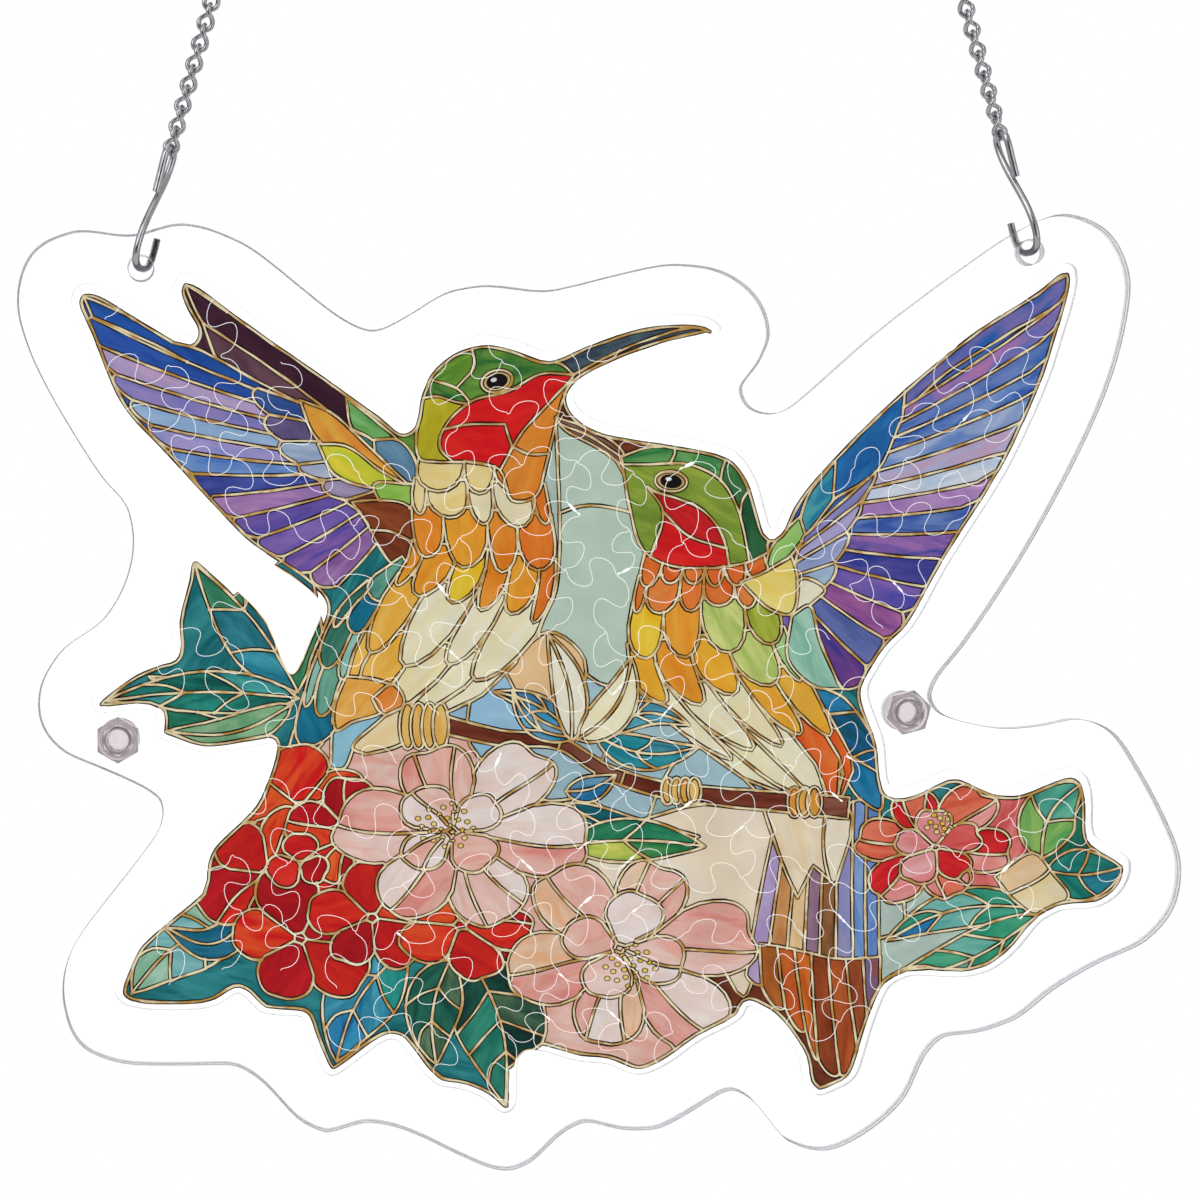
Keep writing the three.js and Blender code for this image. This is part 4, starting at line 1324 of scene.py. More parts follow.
    def lower_leaves(self) -> None:
        """Leaves round the flowers."""
        self.leaf((250, 918), (132, 992), 70, 0.12, 2, "6cb8bc/a0d4d4 3c9c94/7cc4b4 8cc4a4/b4dcc4")
        self.leaf((252, 908), (166, 926), 34, -0.3, 0, "0c6484/2c84a4")
        self.leaf((404, 950), (336, 1062), 74, 0.1, 2, "0c6cac/3ca0cc 0c8484/3cb4a4 1c78a0/4cb0c8")
        self.leaf((470, 960), (505, 1106), 92, -0.1, 3, "0c5c4c/2c8c74 1c4c3c/5c7c5c 0c6c5c/3c9c84 082c2c/1c5c4c")
        self.leaf((450, 960), (436, 1066), 56, 0.1, 2, "2c5c44/6c8c6c 0c4c44/2c7c64")
        self.leaf((566, 804), (700, 838), 34, 0.1, 1, "0c5c6c/1c7c84 0c5460/2c8c94")
        self.leaf((568, 846), (706, 848), 44, -0.04, 1, "1c7c44/5ca85c e8e86c/8cbc4c 0c7454/3c9c6c")
        self.leaf((566, 792), (616, 776), 26, 0.1, 0, "3c88b0/8cc0d8 0c6ca4/4ca0c8")
        self.leaf((1048, 862), (1090, 786), 58, -0.16, 1, "1c8c84/6cc4a4 5cac5c/a0cc6c 0c7474/3ca494")
        self.leaf((1052, 874), (1134, 870), 52, 0.08, 1, "0c6c8c/2c94a4 9cb434/c4cc54 0c746c/2c9c8c")
        self.leaf((1040, 912), (890, 944), 40, 0.1, 2, "0c5c94/2c84bc 5cb8b0/94d4c8 1c9474/4cb494")
        self.leaf((1044, 920), (888, 986), 52, -0.08, 3, "0c8464/3cac84 1c9c74/5cbc94 4cb0a0/84ccbc")
        self.patch([(1000, 880), (1040, 856), (1062, 880), (1076, 900), (1050, 922), (1020, 904)], "a",
            "fbe4a8/fdf0cc f8cc94/fbe0b8", cuts=[[(1010, 900), (1050, 880), (1066, 860)]])

    def blossoms(self) -> None:
        """The red, pink and rose flowers."""
        reds = "d8141c/f03c24 e4181c/f45c2c b8101c/d42028 e82c1c/f87030 c4141c/e02c20 a80c1c/c81c20"
        self.petals((300, 806), 5, 74, 86, reds, 0.78, -8, 200, (2, 0, 1, 3, 4), 0.05)
        self.petals((268, 872), 5, 72, 84, reds, 0.95, -20, 100, (1, 3, 0, 2, 4), 0.05)
        self.petals((352, 836), 5, 66, 84, reds, 0.9, 10, 40, (3, 1, 0, 4, 2), 0.06)
        self.petals((300, 938), 5, 74, 86, reds, 0.9, 20, 20, (0, 2, 1, 4, 3), 0.05)
        self.petals((372, 918), 5, 66, 82, reds, 0.85, -10, 130, (1, 0, 3, 2, 4), 0.06)
        self.petals((460, 926), 5, 76, 80, reds, 0.75, 14, 60, (4, 1, 0, 3, 2), 0.05)
        self.petals((300, 862), 3, 34, 118, "e41c20/f44030 b40c18/d01c20 d0141c/e83428", 0.9, 0, 30)
        pinks = ("f8c4b4/fde4dc", "f4a494/fbd4c8", "fbe0d4/fff2ec", "f8b8a8/fcdcd0", "f0988c/f8c8bc")
        pink = " ".join(pinks)
        self.petals((462, 834), 6, 122, 70, pink, 0.84, -12, 20, (5, 1, 3, 0, 4, 2), 0.05, 0.04)
        self.petals((452, 832), 4, 62, 88, "fce4dc/fff4f0 f8c8bc/fde4dc f8b4a4/fcdcd0", 0.8, -10, 60, None, 0.05)
        self.stamens((446, 826), 26, 30)
        self.petals((630, 956), 6, 122, 68, pink + " fbd4b0/fde8d0 f8c094/fbdcc0", 0.88, 8, 40, (2, 4, 0, 5, 1, 3),
            0.05, 0.04)
        self.petals((620, 950), 4, 64, 90, "fce4dc/fff4f0 f8c8bc/fde4dc f8b4a4/fcdcd0", 0.85, 0, 20, None, 0.05)
        self.stamens((630, 968), 24, 28)
        roses = "e43c40/f47c78 f0807c/f8aca8 d8141c/f03438 f4948c/fcc4bc e85c44/f48868"
        self.petals((936, 848), 6, 80, 70, roses, 0.8, -6, 15, (0, 3, 1, 4, 2, 5))
        self.petals((940, 850), 5, 48, 80, "f08c8c/f8bcbc d8141c/f0343c e44c4c/f4847c", 0.8, 0, 50)
        self.stamens((944, 826), 12, 15)


# ---------------------------------------------------------------- the jigsaw picture


@dataclass
class Picture:
    """The jigsaw picture: printed clear slab, cut into pieces."""

    TINT = "tint"
    STREAK = "streak"
    GRAIN = "grain"

    kerf: float = 0.5
    pitch: float = 56.0
    swing: float = 21.0
    swing_range: tuple[float, float] = (0.75, 1.15)
    least_piece: float = 900.0
    crumb: float = 25.0
    least_pane: float = 10.0
    dark_width: float = 4.6
    gold_width: float = 2.1
    shortest_line: float = 1.5
    longest_step: float = 11.0
    margin: float = 7.5
    air_gap: float = 0.00004
    node: str = "puzzle_picture"
    partings: tuple[float, ...] = (395.0, 575.0, 760.0)
    part_names: tuple[str, ...] = ("jigsaw_left", "jigsaw_left_middle", "jigsaw_right_middle", "jigsaw_right")

    def build(self) -> None:
        """Builds the picture as separate jigsaw pieces, gathered in a few meshes."""
        edge = spline(BOARD.outlines(self.node)[0], True, 3)
        regions = Drawing(edge).regions
        for region in regions:
            region.outline = self.kept_inside(region.outline, edge)
        panes, pane_pairs, pane_angles, borders, plain = self.panes(edge, regions)
        kerfs = self.kerfs(edge)
        self.solid(edge, panes, pane_pairs, pane_angles, borders, plain, kerfs, regions)

    def kept_inside(self, ring: np.ndarray, edge: np.ndarray) -> np.ndarray:
        """Moves the points of a ring that lie outside the margin to the margin's line."""
        inward = left_normals(edge, True) * (1 if area_of(edge) > 0 else -1)
        gap = ring[:, None] - edge[None]
        far = np.hypot(gap[..., 0], gap[..., 1])
        near = np.argmin(far, axis=1)
        depth = np.sum((ring - edge[near]) * inward[near], axis=1)
        out = depth < self.margin
        moved = ring.copy()
        moved[out] = edge[near[out]] + inward[near[out]] * self.margin
        step = np.linalg.norm(moved - np.roll(moved, 1, axis=0), axis=1)
        return moved[step > 0.05]

    def panes(self, edge: np.ndarray, regions: list[Region]) -> tuple:
        """Divides the drawing into panes.

        Returns:
            The triangulation with its pane numbers, each pane's colours and grain, and the
            lined and the plain borders as curves.
        """
        sheaf = Sheaf()
        sheaf.add_face(edge)
        owners = []
        for number, region in enumerate(regions, 1):
            owners += [-1] * len(sheaf.add_curve(np.vstack([region.outline, region.outline[:1]])))
            for cut in region.cuts:
                owners += [number] * len(sheaf.add_curve(cut))
        net = sheaf.triangulate()
        centres = net.centres()
        top = np.where(net.covered_by(0), 0, -2)
        for number, region in enumerate(regions, 1):
            top[(top >= 0) & inside(centres, region.outline)] = number
        held = top[net.pairs[:, 0]] == top[net.pairs[:, 1]]
        crossed = np.array([any(owners[i] == top[a] for i in ids)
                            for ids, a in zip(net.edge_ids, net.pairs[:, 0])])
        pane = groups(len(top), net.pairs[held & ~crossed])
        area = net.areas()
        lengths = np.linalg.norm(net.points[net.shared[:, 0]] - net.points[net.shared[:, 1]], axis=1)
        for _ in range(6):
            size = np.bincount(pane, area)
            small = (size[pane] < self.least_pane) & (top > 0)
            small &= np.array([t > 0 and regions[t - 1].lined for t in top])
            if not small.any():
                break
            best: dict[int, tuple[float, int]] = {}
            for (a, b), long in zip(net.pairs, lengths):
                for one, other in ((a, b), (b, a)):
                    joins = small[one] and pane[one] != pane[other] and top[other] > 0
                    joins = joins and size[pane[other]] >= size[pane[one]]
                    if joins and long > best.get(pane[one], (0, 0))[0]:
                        best[pane[one]] = (long, other)
            for number, (_, other) in best.items():
                own = pane == number
                top[own] = top[other]
                pane[own] = pane[other]
        lined = np.array([t > 0 and regions[t - 1].lined for t in top])
        differ = pane[net.pairs[:, 0]] != pane[net.pairs[:, 1]]
        shown = (top[net.pairs] > 0).any(axis=1)
        with_line = lined[net.pairs].all(axis=1) | ((top[net.pairs] <= 0).any(axis=1) & lined[net.pairs].any(axis=1))
        borders = [net.points[run] for run in chains(net.shared[differ & shown & with_line])]
        plain = [net.points[run] for run in chains(net.shared[differ & shown & ~with_line])]
        pairs, angles = {}, {}
        for number in np.unique(pane):
            own = pane == number
            first = top[own][0]
            if first <= 0:
                continue
            weights = area[own]
            middle = np.average(centres[own], axis=0, weights=weights)
            pairs[int(number)] = regions[first - 1].pair_at(middle)
            spread = centres[own] - middle
            moment = (spread * weights[:, None]).T @ spread
            way = np.linalg.eigh(moment)[1][:, 1]
            angle = regions[first - 1].grain
            angles[int(number)] = (math.atan2(way[1], way[0]) if angle is None else math.radians(angle),
                                   regions[first - 1].streak)
        return (net, pane, top), pairs, angles, borders, plain

    def kerfs(self, edge: np.ndarray) -> list[np.ndarray]:
        """The jigsaw's cutting lines.

        Corners of a warped square grid are joined by curves that swing to both sides: a point at
        share t goes along the join by t less part of a sine of two turns, and aside by a sine of
        one turn, both eased at the corners by a half turn's sine. Where a crumb would fall off, the
        cut to its larger neighbour is left out.
        """
        random = np.random.default_rng(SEED + 1)
        low, high = edge.min(axis=0) - 70, edge.max(axis=0) + 70
        across = np.arange(low[0], high[0], self.pitch)
        down = np.arange(low[1], high[1], self.pitch)
        x, y = np.meshgrid(across, down)
        x = x + 10 * np.sin(y / 61) + random.uniform(-9, 9, x.shape)
        y = y + 10 * np.sin(x / 53) + random.uniform(-9, 9, y.shape)
        corners = np.stack([x, y], axis=-1)
        t = np.linspace(0, 1, 23)[:, None]
        curves = []
        for shift in ((0, 1), (1, 0)):
            for i in range(corners.shape[0] - shift[0]):
                for j in range(corners.shape[1] - shift[1]):
                    a, b = corners[i, j], corners[i + shift[0], j + shift[1]]
                    way = b - a
                    aside = quarter_turn(way) / np.linalg.norm(way)
                    sign = 1 if random.random() < 0.5 else -1
                    swing = self.swing * random.uniform(*self.swing_range) * sign
                    ease = np.sin(math.pi * t)
                    curve = (a + way * (t - 0.15 * np.sin(2 * TAU * t) * ease)
                             + aside * swing * np.sin(TAU * t) * ease ** 0.9)
                    curves.append(curve)
        kept = list(range(len(curves)))
        for _ in range(6):
            sheaf = Sheaf()
            sheaf.add_face(edge)
            owner = []
            for number in kept:
                owner += [number] * len(sheaf.add_curve(curves[number]))
            net = sheaf.triangulate()
            held = net.covered_by(0)
            free = net.open_pairs()
            both = held[net.pairs].all(axis=1)
            piece = groups(len(held), net.pairs[both & free])
            size = np.bincount(piece, net.areas() * held)
            drop: dict[int, tuple[float, int]] = {}
            for (a, b), ids in zip(net.pairs[both & ~free], [e for e, k in zip(net.edge_ids, both & ~free) if k]):
                small, large = sorted((piece[a], piece[b]), key=lambda p: size[p])
                if small != large and self.crumb < size[small] < self.least_piece:
                    if size[large] > drop.get(small, (0, 0))[0]:
                        drop[small] = (size[large], owner[ids[0]])
            if not drop:
                break
            gone = {number for _, number in drop.values()}
            kept = [number for number in kept if number not in gone]
        return [thinned(curves[number], 0.1) for number in kept if inside(curves[number], edge).any()]

    def solid(self, edge: np.ndarray, panes: tuple, pairs: dict, angles: dict, borders: list[np.ndarray],
              plain: list[np.ndarray], kerfs: list[np.ndarray], regions: list[Region]) -> None:
        """Makes the mesh: printed top faces, clear margin, walls and underside."""
        random = np.random.default_rng(SEED + 2)
        sheaf = Sheaf()
        sheaf.add_face(edge)
        runs = [thinned(run, 0.16) for run in borders if len(run) > 1]
        ends = np.round(np.array([run[k] for run in runs for k in (0, -1)]), 3)
        joints, counts = np.unique(ends, axis=0, return_counts=True)

        def wavy(run: np.ndarray, width: float, share: float) -> np.ndarray:
            far = travelled(run)
            start = random.uniform(0, TAU)
            return width * (1 + share * np.sin(far / 9 + start) * np.sin(far / 23 + 2 * start))

        runs = [self.finer(run, self.longest_step) for run in runs if travelled(run)[-1] > self.shortest_line]
        for run in runs:
            sheaf.add_ribbon(run, wavy(run, self.dark_width, 0.12))
        for joint in joints:
            sheaf.add_disc(joint, self.dark_width / 2, 8)
        gold_from = len(sheaf.faces)
        for run in runs:
            shift = wavy(run, 0.35, 1.0) - 0.35
            sheaf.add_ribbon(run, wavy(run, self.gold_width, 0.3), shift)
        for joint, count in zip(joints, counts):
            sheaf.add_disc(joint, random.uniform(1.2, 1.9) if count > 2 else self.gold_width / 2, 7)
        kerf_from = len(sheaf.faces)
        for curve in kerfs:
            sheaf.add_ribbon(curve, np.full(len(curve), self.kerf))
            for end in (curve[0], curve[-1]):
                sheaf.add_disc(end, self.kerf / 2, 6)
        for run in plain:
            sheaf.add_curve(thinned(run, 0.08))
        net = sheaf.triangulate()
        top = np.where(net.covered_by(0), net.uppermost(), -1)
        keep = (top >= 0) & (top < kerf_from)
        LOG.info("picture: %d triangles on top, %d line runs, %d kerf curves", keep.sum(), len(runs), len(kerfs))
        piece = groups(len(top), net.pairs[keep[net.pairs].all(axis=1)])
        size = np.bincount(piece, net.areas() * keep)
        keep &= size[piece] > self.crumb
        free = net.open_pairs()
        pane_like = keep & (top == 0)
        part = groups(len(top), net.pairs[pane_like[net.pairs].all(axis=1) & free])
        colours, grains = self.look_up(net, part, pane_like, panes, pairs, angles)
        index = np.where(top == 0, 0, np.where(top < gold_from, 2, 3))
        margin = pane_like & (colours[:, 0, 0] < 0)
        index[margin] = 1
        middles = np.bincount(piece, net.centres()[:, 0] * net.areas() * keep) / np.maximum(size, 1e-9)
        parts = np.digitize(middles[piece], self.partings)
        for number, name in enumerate(self.part_names):
            self.make_mesh(name, net, keep & (parts == number), index, colours, grains)
        LOG.info("picture: %d jigsaw pieces", len(np.unique(piece[keep])))

    @staticmethod
    def finer(run: np.ndarray, longest: float) -> np.ndarray:
        """The curve with points added wherever two neighbours lie further apart than longest."""
        parts = np.maximum(1, np.ceil(np.diff(travelled(run)) / longest).astype(int))
        spans = [np.linspace(k, k + 1, n, endpoint=False) for k, n in enumerate(parts)]
        at = np.concatenate(spans + [[len(run) - 1]])
        return sampled(run, np.arange(len(run)), at)

    def look_up(self, net: Triangulation, part: np.ndarray, wanted: np.ndarray, panes: tuple,
                pairs: dict, angles: dict) -> tuple[np.ndarray, np.ndarray]:
        """Finds each triangle's pane from the middle of its part's largest triangle.

        Returns:
            For each triangle the two colours, or minus one on the margin, and the streaks'
            direction, lengths and offset.
        """
        drawn, pane, _ = panes
        chief = largest_of_each(part, net.areas() * wanted)
        spots = net.centres()[chief]
        found = np.full(len(spots), -1)
        asked = np.flatnonzero(wanted[chief])
        held = drawn.locate(spots[asked])
        found[asked] = np.where(held >= 0, pane[held], -1)
        random = np.random.default_rng(SEED + 3)
        shifts = {number: random.uniform(0, 60, 2) for number in sorted(pairs)}
        colours = np.full((int(part.max()) + 1, 2, 4), -1.0)
        grains = np.zeros((int(part.max()) + 1, 5))
        for number, spot in zip(part[chief], found):
            if int(spot) in pairs:
                colours[number] = [linear(code) for code in pairs[int(spot)]]
                angle, (long, wide) = angles[int(spot)]
                grains[number] = (angle, long, wide, *shifts[int(spot)])
        return colours[part], grains[part]

    def make_mesh(self, name: str, net: Triangulation, keep: np.ndarray, index: np.ndarray,
                  colours: np.ndarray, grains: np.ndarray) -> None:
        """Turns the kept triangles into closed pieces with their colours and grain."""
        low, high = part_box(self.node)
        front, back = low.y + self.air_gap, high.y - self.air_gap
        tris = net.triangles[keep]
        sides = np.stack([tris, np.roll(tris, -1, axis=1)], axis=2).reshape(-1, 2)
        key = np.sort(sides, axis=1)
        _, at, counts = np.unique(key, axis=0, return_index=True, return_counts=True)
        rim = sides[at[counts == 1]]
        used, renumber = np.unique(rim, return_inverse=True)
        renumber = renumber.reshape(-1, 2)
        base = Triangulation.of(net.points[used], renumber.tolist(), [])
        patch = groups(len(base.triangles), base.pairs[base.open_pairs()])
        chief = largest_of_each(patch, base.areas())
        held = Triangulation(net.points, tris, *[np.zeros(0, int)] * 4, []).locate(base.centres()[chief])
        base_tris = base.triangles[(held >= 0)[patch]]
        shown_points, corners = np.unique(tris, return_inverse=True)
        corners = corners.reshape(-1, 3)
        place = np.zeros(len(net.points), int)
        place[shown_points] = np.arange(len(shown_points))
        top_verts = BOARD.to_row(net.points[shown_points], front)
        rim_verts = BOARD.to_row(net.points[used], back)
        matched = np.array([np.argmin(np.abs(net.points[used] - p).sum(axis=1)) for p in base.points])
        shift = len(top_verts)
        faces = corners[:, ::-1].tolist()
        faces += np.column_stack([place[rim[:, 0]], place[rim[:, 1]], shift + renumber[:, 1],
                                  shift + renumber[:, 0]]).tolist()
        faces += (shift + matched[base_tris]).tolist()
        clear = len(faces) - len(tris)
        finishes = (Finish.PANES, Finish.ACRYLIC, Finish.DARK, Finish.GOLD)
        piece = new_piece(name, np.vstack([top_verts, rim_verts]), faces, finishes, [self.node], False,
                          np.concatenate([index[keep], np.ones(clear, int)]))
        mesh = piece.data
        loops = len(mesh.loops)
        corner = len(tris) * 3
        shown = np.maximum(colours[keep], 0)
        for name, which in ((self.TINT, 0), (self.STREAK, 1)):
            layer = mesh.attributes.new(name, "FLOAT_COLOR", "CORNER")
            data = np.ones((loops, 4))
            data[:corner] = np.repeat(shown[:, which], 3, axis=0)
            layer.data.foreach_set("color", data.ravel())
        grain = grains[keep]
        spot = net.points[tris[:, ::-1]] / BOARD.units_per_mm
        c, s = np.cos(grain[:, 0])[:, None], np.sin(grain[:, 0])[:, None]
        u = (spot[..., 0] * c + spot[..., 1] * s) / np.maximum(grain[:, 1:2], 1) + grain[:, 3:4]
        v = (spot[..., 1] * c - spot[..., 0] * s) / np.maximum(grain[:, 2:3], 1) + grain[:, 4:5]
        uv = np.zeros((loops, 2))
        uv[:corner] = np.stack([u, v], axis=-1).reshape(-1, 2)
        mesh.uv_layers.new(name=self.GRAIN).data.foreach_set("uv", uv.ravel())


# ---------------------------------------------------------------- the clear sheets


@dataclass(frozen=True)
class Sheet:
    """A laser-cut clear sheet with eased edges round its outside and its holes."""

    node: str
    recessed: bool = False
    easing_mm: float = 0.12
    gap_mm: float = 0.02
    hole_most: float = 2000.0

    def build(self) -> None:
        """Builds the sheet.

        Each ring of the CAD sheet is drawn smooth, and a hole as a circle. A wall follows the
        ring at four depths. At the first and the last one it is set in along the ring's normals.
        """
        low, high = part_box(self.node)
        front, back = low.y + self.gap_mm * MM, high.y - self.gap_mm * MM
        ease = self.easing_mm * BOARD.units_per_mm
        verts, faces, caps = [], [], []
        count = 0
        for number, ring in enumerate(BOARD.outlines(self.node)):
            large = abs(area_of(ring)) > self.hole_most
            curve = spline(ring, True, 4) if large else self.circle(ring)
            if area_of(curve) < 0:
                curve = curve[::-1]
            outer = number == 0
            inset = ease if outer or not large else 0.0
            inner = curve + left_normals(curve, True) * (inset if outer else -inset)
            size = len(curve)
            depths = ((inner, front), (curve, front + inset / BOARD.units_per_mm * MM),
                      (curve, back - inset / BOARD.units_per_mm * MM), (inner, back))
            verts += [BOARD.to_row(line, y) for line, y in depths]
            here = np.arange(size)
            ahead = (here + 1) % size
            for level in range(3):
                a, b = count + level * size, count + (level + 1) * size
                quads = np.column_stack([a + here, b + here, b + ahead, a + ahead])
                faces += (quads[:, ::-1] if outer else quads).tolist()
            caps.append((inner, count, count + 3 * size))
            count += 4 * size
        sheaf = Sheaf()
        for line, _, _ in caps:
            sheaf.add_face(line)
        net = sheaf.triangulate()
        kept = net.triangles[net.uppermost() == 0]
        places = np.vstack([line for line, _, _ in caps])
        nearest = np.array([np.argmin(np.abs(places - p).sum(axis=1)) for p in net.points])
        walls = len(faces)
        for which in (1, 2):
            numbers = np.concatenate([cap[which] + np.arange(len(cap[0])) for cap in caps])[nearest]
            cap_faces = numbers[kept]
            faces += (cap_faces[:, ::-1] if which == 1 else cap_faces).tolist()
        new_piece(self.node + "_sheet", np.vstack(verts), faces, [Finish.ACRYLIC, Finish.EDGE], [self.node], False,
                  (np.arange(len(faces)) < walls).astype(int))

    @staticmethod
    def circle(ring: np.ndarray) -> np.ndarray:
        """The circle through a CAD hole's corners."""
        middle = ring.mean(axis=0)
        radius = float(np.linalg.norm(ring - middle, axis=1).mean())
        turn = np.arange(64) * TAU / 64
        return middle + radius * np.column_stack([np.cos(turn), np.sin(turn)])


# ---------------------------------------------------------------- hooks, chain and rings


@dataclass(frozen=True)
class Side:
    """One side of the hanging, in the plate's own plane in millimetres."""

    name: str
    sign: int
    hole: tuple[float, float]
    screw: tuple[float, float]
    nut_turn: float
    links: int


SIDES = (
    Side("left", -1, (-91.6, 66.2), (-96.1, -27.7), 0.0, 9),
    Side("right", 1, (87.3, 70.2), (61.9, -22.6), 15.0, 8),
)


def smoothstep(x: np.ndarray, low: float, high: float) -> np.ndarray:
    """The share of the way from low to high, eased at both ends by the cubic 3t² − 2t³."""
    t = np.clip((x - low) / (high - low), 0, 1)
    return t * t * (3 - 2 * t)


@dataclass(frozen=True)
class Hanging:
    """One side's hook, chain strand and end ring. Lengths are in millimetres."""

    side: Side
    half_stack: float = 3.0
    hook_wire: float = 0.75
    hole_play: float = 1.75
    seat_gap: float = 0.08
    sheet_gap: float = 0.5
    eye_radius: float = 2.2
    hook_height: float = 25.0
    cut_leg: float = 7.4
    tip_leg: float = 2.3
    squareness: float = 2.6
    hook_turn: float = 20.0
    hook_lean: float = 14.1
    link_wire: float = 0.5
    pitch: float = 4.26
    link_width: float = 3.7
    twist: float = 90.0
    gap: float = 0.06
    strand_lean: float = 15.4
    ring_wire: float = 0.7
    ring_inner: float = 5.1
    hole_sides: int = 16

    @property
    def bend_radius(self) -> float:
        """Half the depth of the hook's lower bend."""
        return (self.half_stack + self.hook_wire + self.sheet_gap) / math.cos(math.radians(self.hook_turn))

    @property
    def half_link(self) -> float:
        """Half the length of a link's centre line."""
        return (self.pitch + 2 * self.link_wire + self.gap) / 2

    @property
    def first_link(self) -> float:
        """The height of the first link's middle over the hook's top."""
        return self.half_link - self.hook_wire - self.link_wire - self.gap

    def bend_height(self, depth: np.ndarray | float) -> np.ndarray:
        """The lower bend's height: a half circle squared by the power of its formula."""
        share = np.minimum(1, np.abs(np.asarray(depth, float) / self.bend_radius))
        return self.bend_radius * (1 - (1 - share**self.squareness) ** (1 / self.squareness))

    def hook_seat(self) -> float:
        """How far the hook's lowest point lies below its hole's middle.

        The hole's upper edge rests on the wire where the wire crosses the plate's two faces.
        """
        turn, lean = math.radians(self.hook_turn), math.radians(self.hook_lean)
        depth = self.half_stack / math.cos(turn)
        height = float(self.bend_height(depth))
        slope = (float(self.bend_height(depth * 1.001)) - height) / (depth * 0.001)
        across = self.hook_wire * math.hypot(1, slope) / math.cos(turn)
        reach = ((self.hook_wire + self.hole_play) * math.cos(math.pi / self.hole_sides)
                 - self.seat_gap - across)
        seats = []
        for face in (-1, 1):
            aside = face * depth * math.sin(turn)
            x = aside * math.cos(lean) + height * math.sin(lean)
            z = height * math.cos(lean) - aside * math.sin(lean)
            seats.append(z - math.sqrt(max(0.0, reach**2 - x**2)))
        return max(seats)

    def from_hook(self, points: np.ndarray) -> np.ndarray:
        """Points of the hook's own frame, in millimetres, as points of the row frame."""
        leaned = points @ turned("y", -self.side.sign * self.hook_lean).T
        x, z = self.side.hole
        place = np.array([x, 0, z - self.hook_seat()]) * MM + np.array([BOARD.origin[0], 0, BOARD.origin[1]])
        return leaned * MM + place

    def from_strand(self, points: np.ndarray) -> np.ndarray:
        """Points of the strand's own frame as points of the row frame."""
        leaned = points @ turned("y", -self.side.sign * (self.strand_lean - self.hook_lean)).T
        return self.from_hook(leaned + np.array([0, 0, self.hook_height]))

    def build(self) -> None:
        """Builds the hook, the links and the ring."""
        self.hook()
        for number in range(self.side.links):
            self.link(number)
        self.ring()

    def hook(self) -> None:
        """Builds the S-hook.

        Its centre line is a smooth curve in one plane: a cut leg, a half circle over the eye, an
        eased slope down to the front and a squared half circle under the plate. The plane stands
        at an angle to the plate, and both cut ends are eased.
        """
        eye = self.hook_height - self.eye_radius
        round_ = math.pi * (1 - np.arange(7) / 6)
        share = np.arange(1, 7) / 6
        lower = -self.bend_radius * np.cos(math.pi * np.arange(1, 11) / 10)
        parts = [
            [[-self.eye_radius, eye - self.cut_leg], [-self.eye_radius, eye - self.cut_leg / 2]],
            np.column_stack([np.cos(round_), np.sin(round_)]) * self.eye_radius + [0, eye],
            np.column_stack([
                self.eye_radius - (self.eye_radius + self.bend_radius) * smoothstep(share, 0, 1),
                eye + (self.bend_radius - eye) * share,
            ]),
            np.column_stack([lower, self.bend_height(lower)]),
            [[self.bend_radius, self.bend_radius + self.tip_leg]],
        ]
        curve = spline(np.vstack(parts), False, 9)
        turn = math.radians(self.hook_turn)
        path = np.column_stack([-self.side.sign * curve[:, 0] * math.sin(turn),
                                curve[:, 0] * math.cos(turn), curve[:, 1]])
        path = np.vstack([path[0], path[0] + (path[1] - path[0]) * 0.25, path[1:-1],
                          path[-1] + (path[-2] - path[-1]) * 0.25, path[-1]])
        radius = np.full(len(path), self.hook_wire)
        radius[[0, -1]] *= 0.8
        normal = np.array([-self.side.sign * math.cos(turn), -math.sin(turn), 0.0])
        verts, faces = tube(path, np.broadcast_to(normal, path.shape), radius, 24, False)
        self.wire_piece(f"hook_{self.side.name}", self.from_hook(verts), faces)

    def link(self, number: int) -> None:
        """Builds one twisted link.

        Its centre line is a round-ended loop in a plane. The plane turns by the twist as the
        height goes through the middle, so that the two ends stand crosswise.
        """
        bend = self.link_width / 2 - self.link_wire
        straight = 2 * (self.half_link - bend)
        quarter = math.pi / 2 * bend
        half = 2 * quarter + straight
        way = np.arange(84) / 84 * 2 * half
        run = np.where(way < half, way, 2 * half - way)
        near = np.minimum(np.minimum(run, half - run), quarter) / bend
        x, rise = bend * np.sin(near), bend * (1 - np.cos(near))
        lower = rise + np.maximum(0, np.minimum(run, half / 2) - quarter) - self.half_link
        upper = self.half_link - rise - np.maximum(0, half - run - quarter)
        z = np.where(run <= half / 2, lower, upper)
        angle = self.side.sign * math.radians(self.twist) * smoothstep(z, -bend, bend)
        reach = np.where(way < half, x, -x)
        path = np.column_stack([reach * np.cos(angle), reach * np.sin(angle), z])
        normals = np.column_stack([-np.sin(angle), np.cos(angle), np.zeros(len(angle))])
        verts, faces = tube(path, normals, self.link_wire, 16, True)
        turn = self.side.sign * self.hook_turn * (1 - number / (self.side.links - 1))
        verts = verts @ turned("z", turn).T + np.array([0, 0, self.first_link + number * self.pitch])
        self.wire_piece(f"link_{self.side.name}_{number + 1}", self.from_strand(verts), faces)

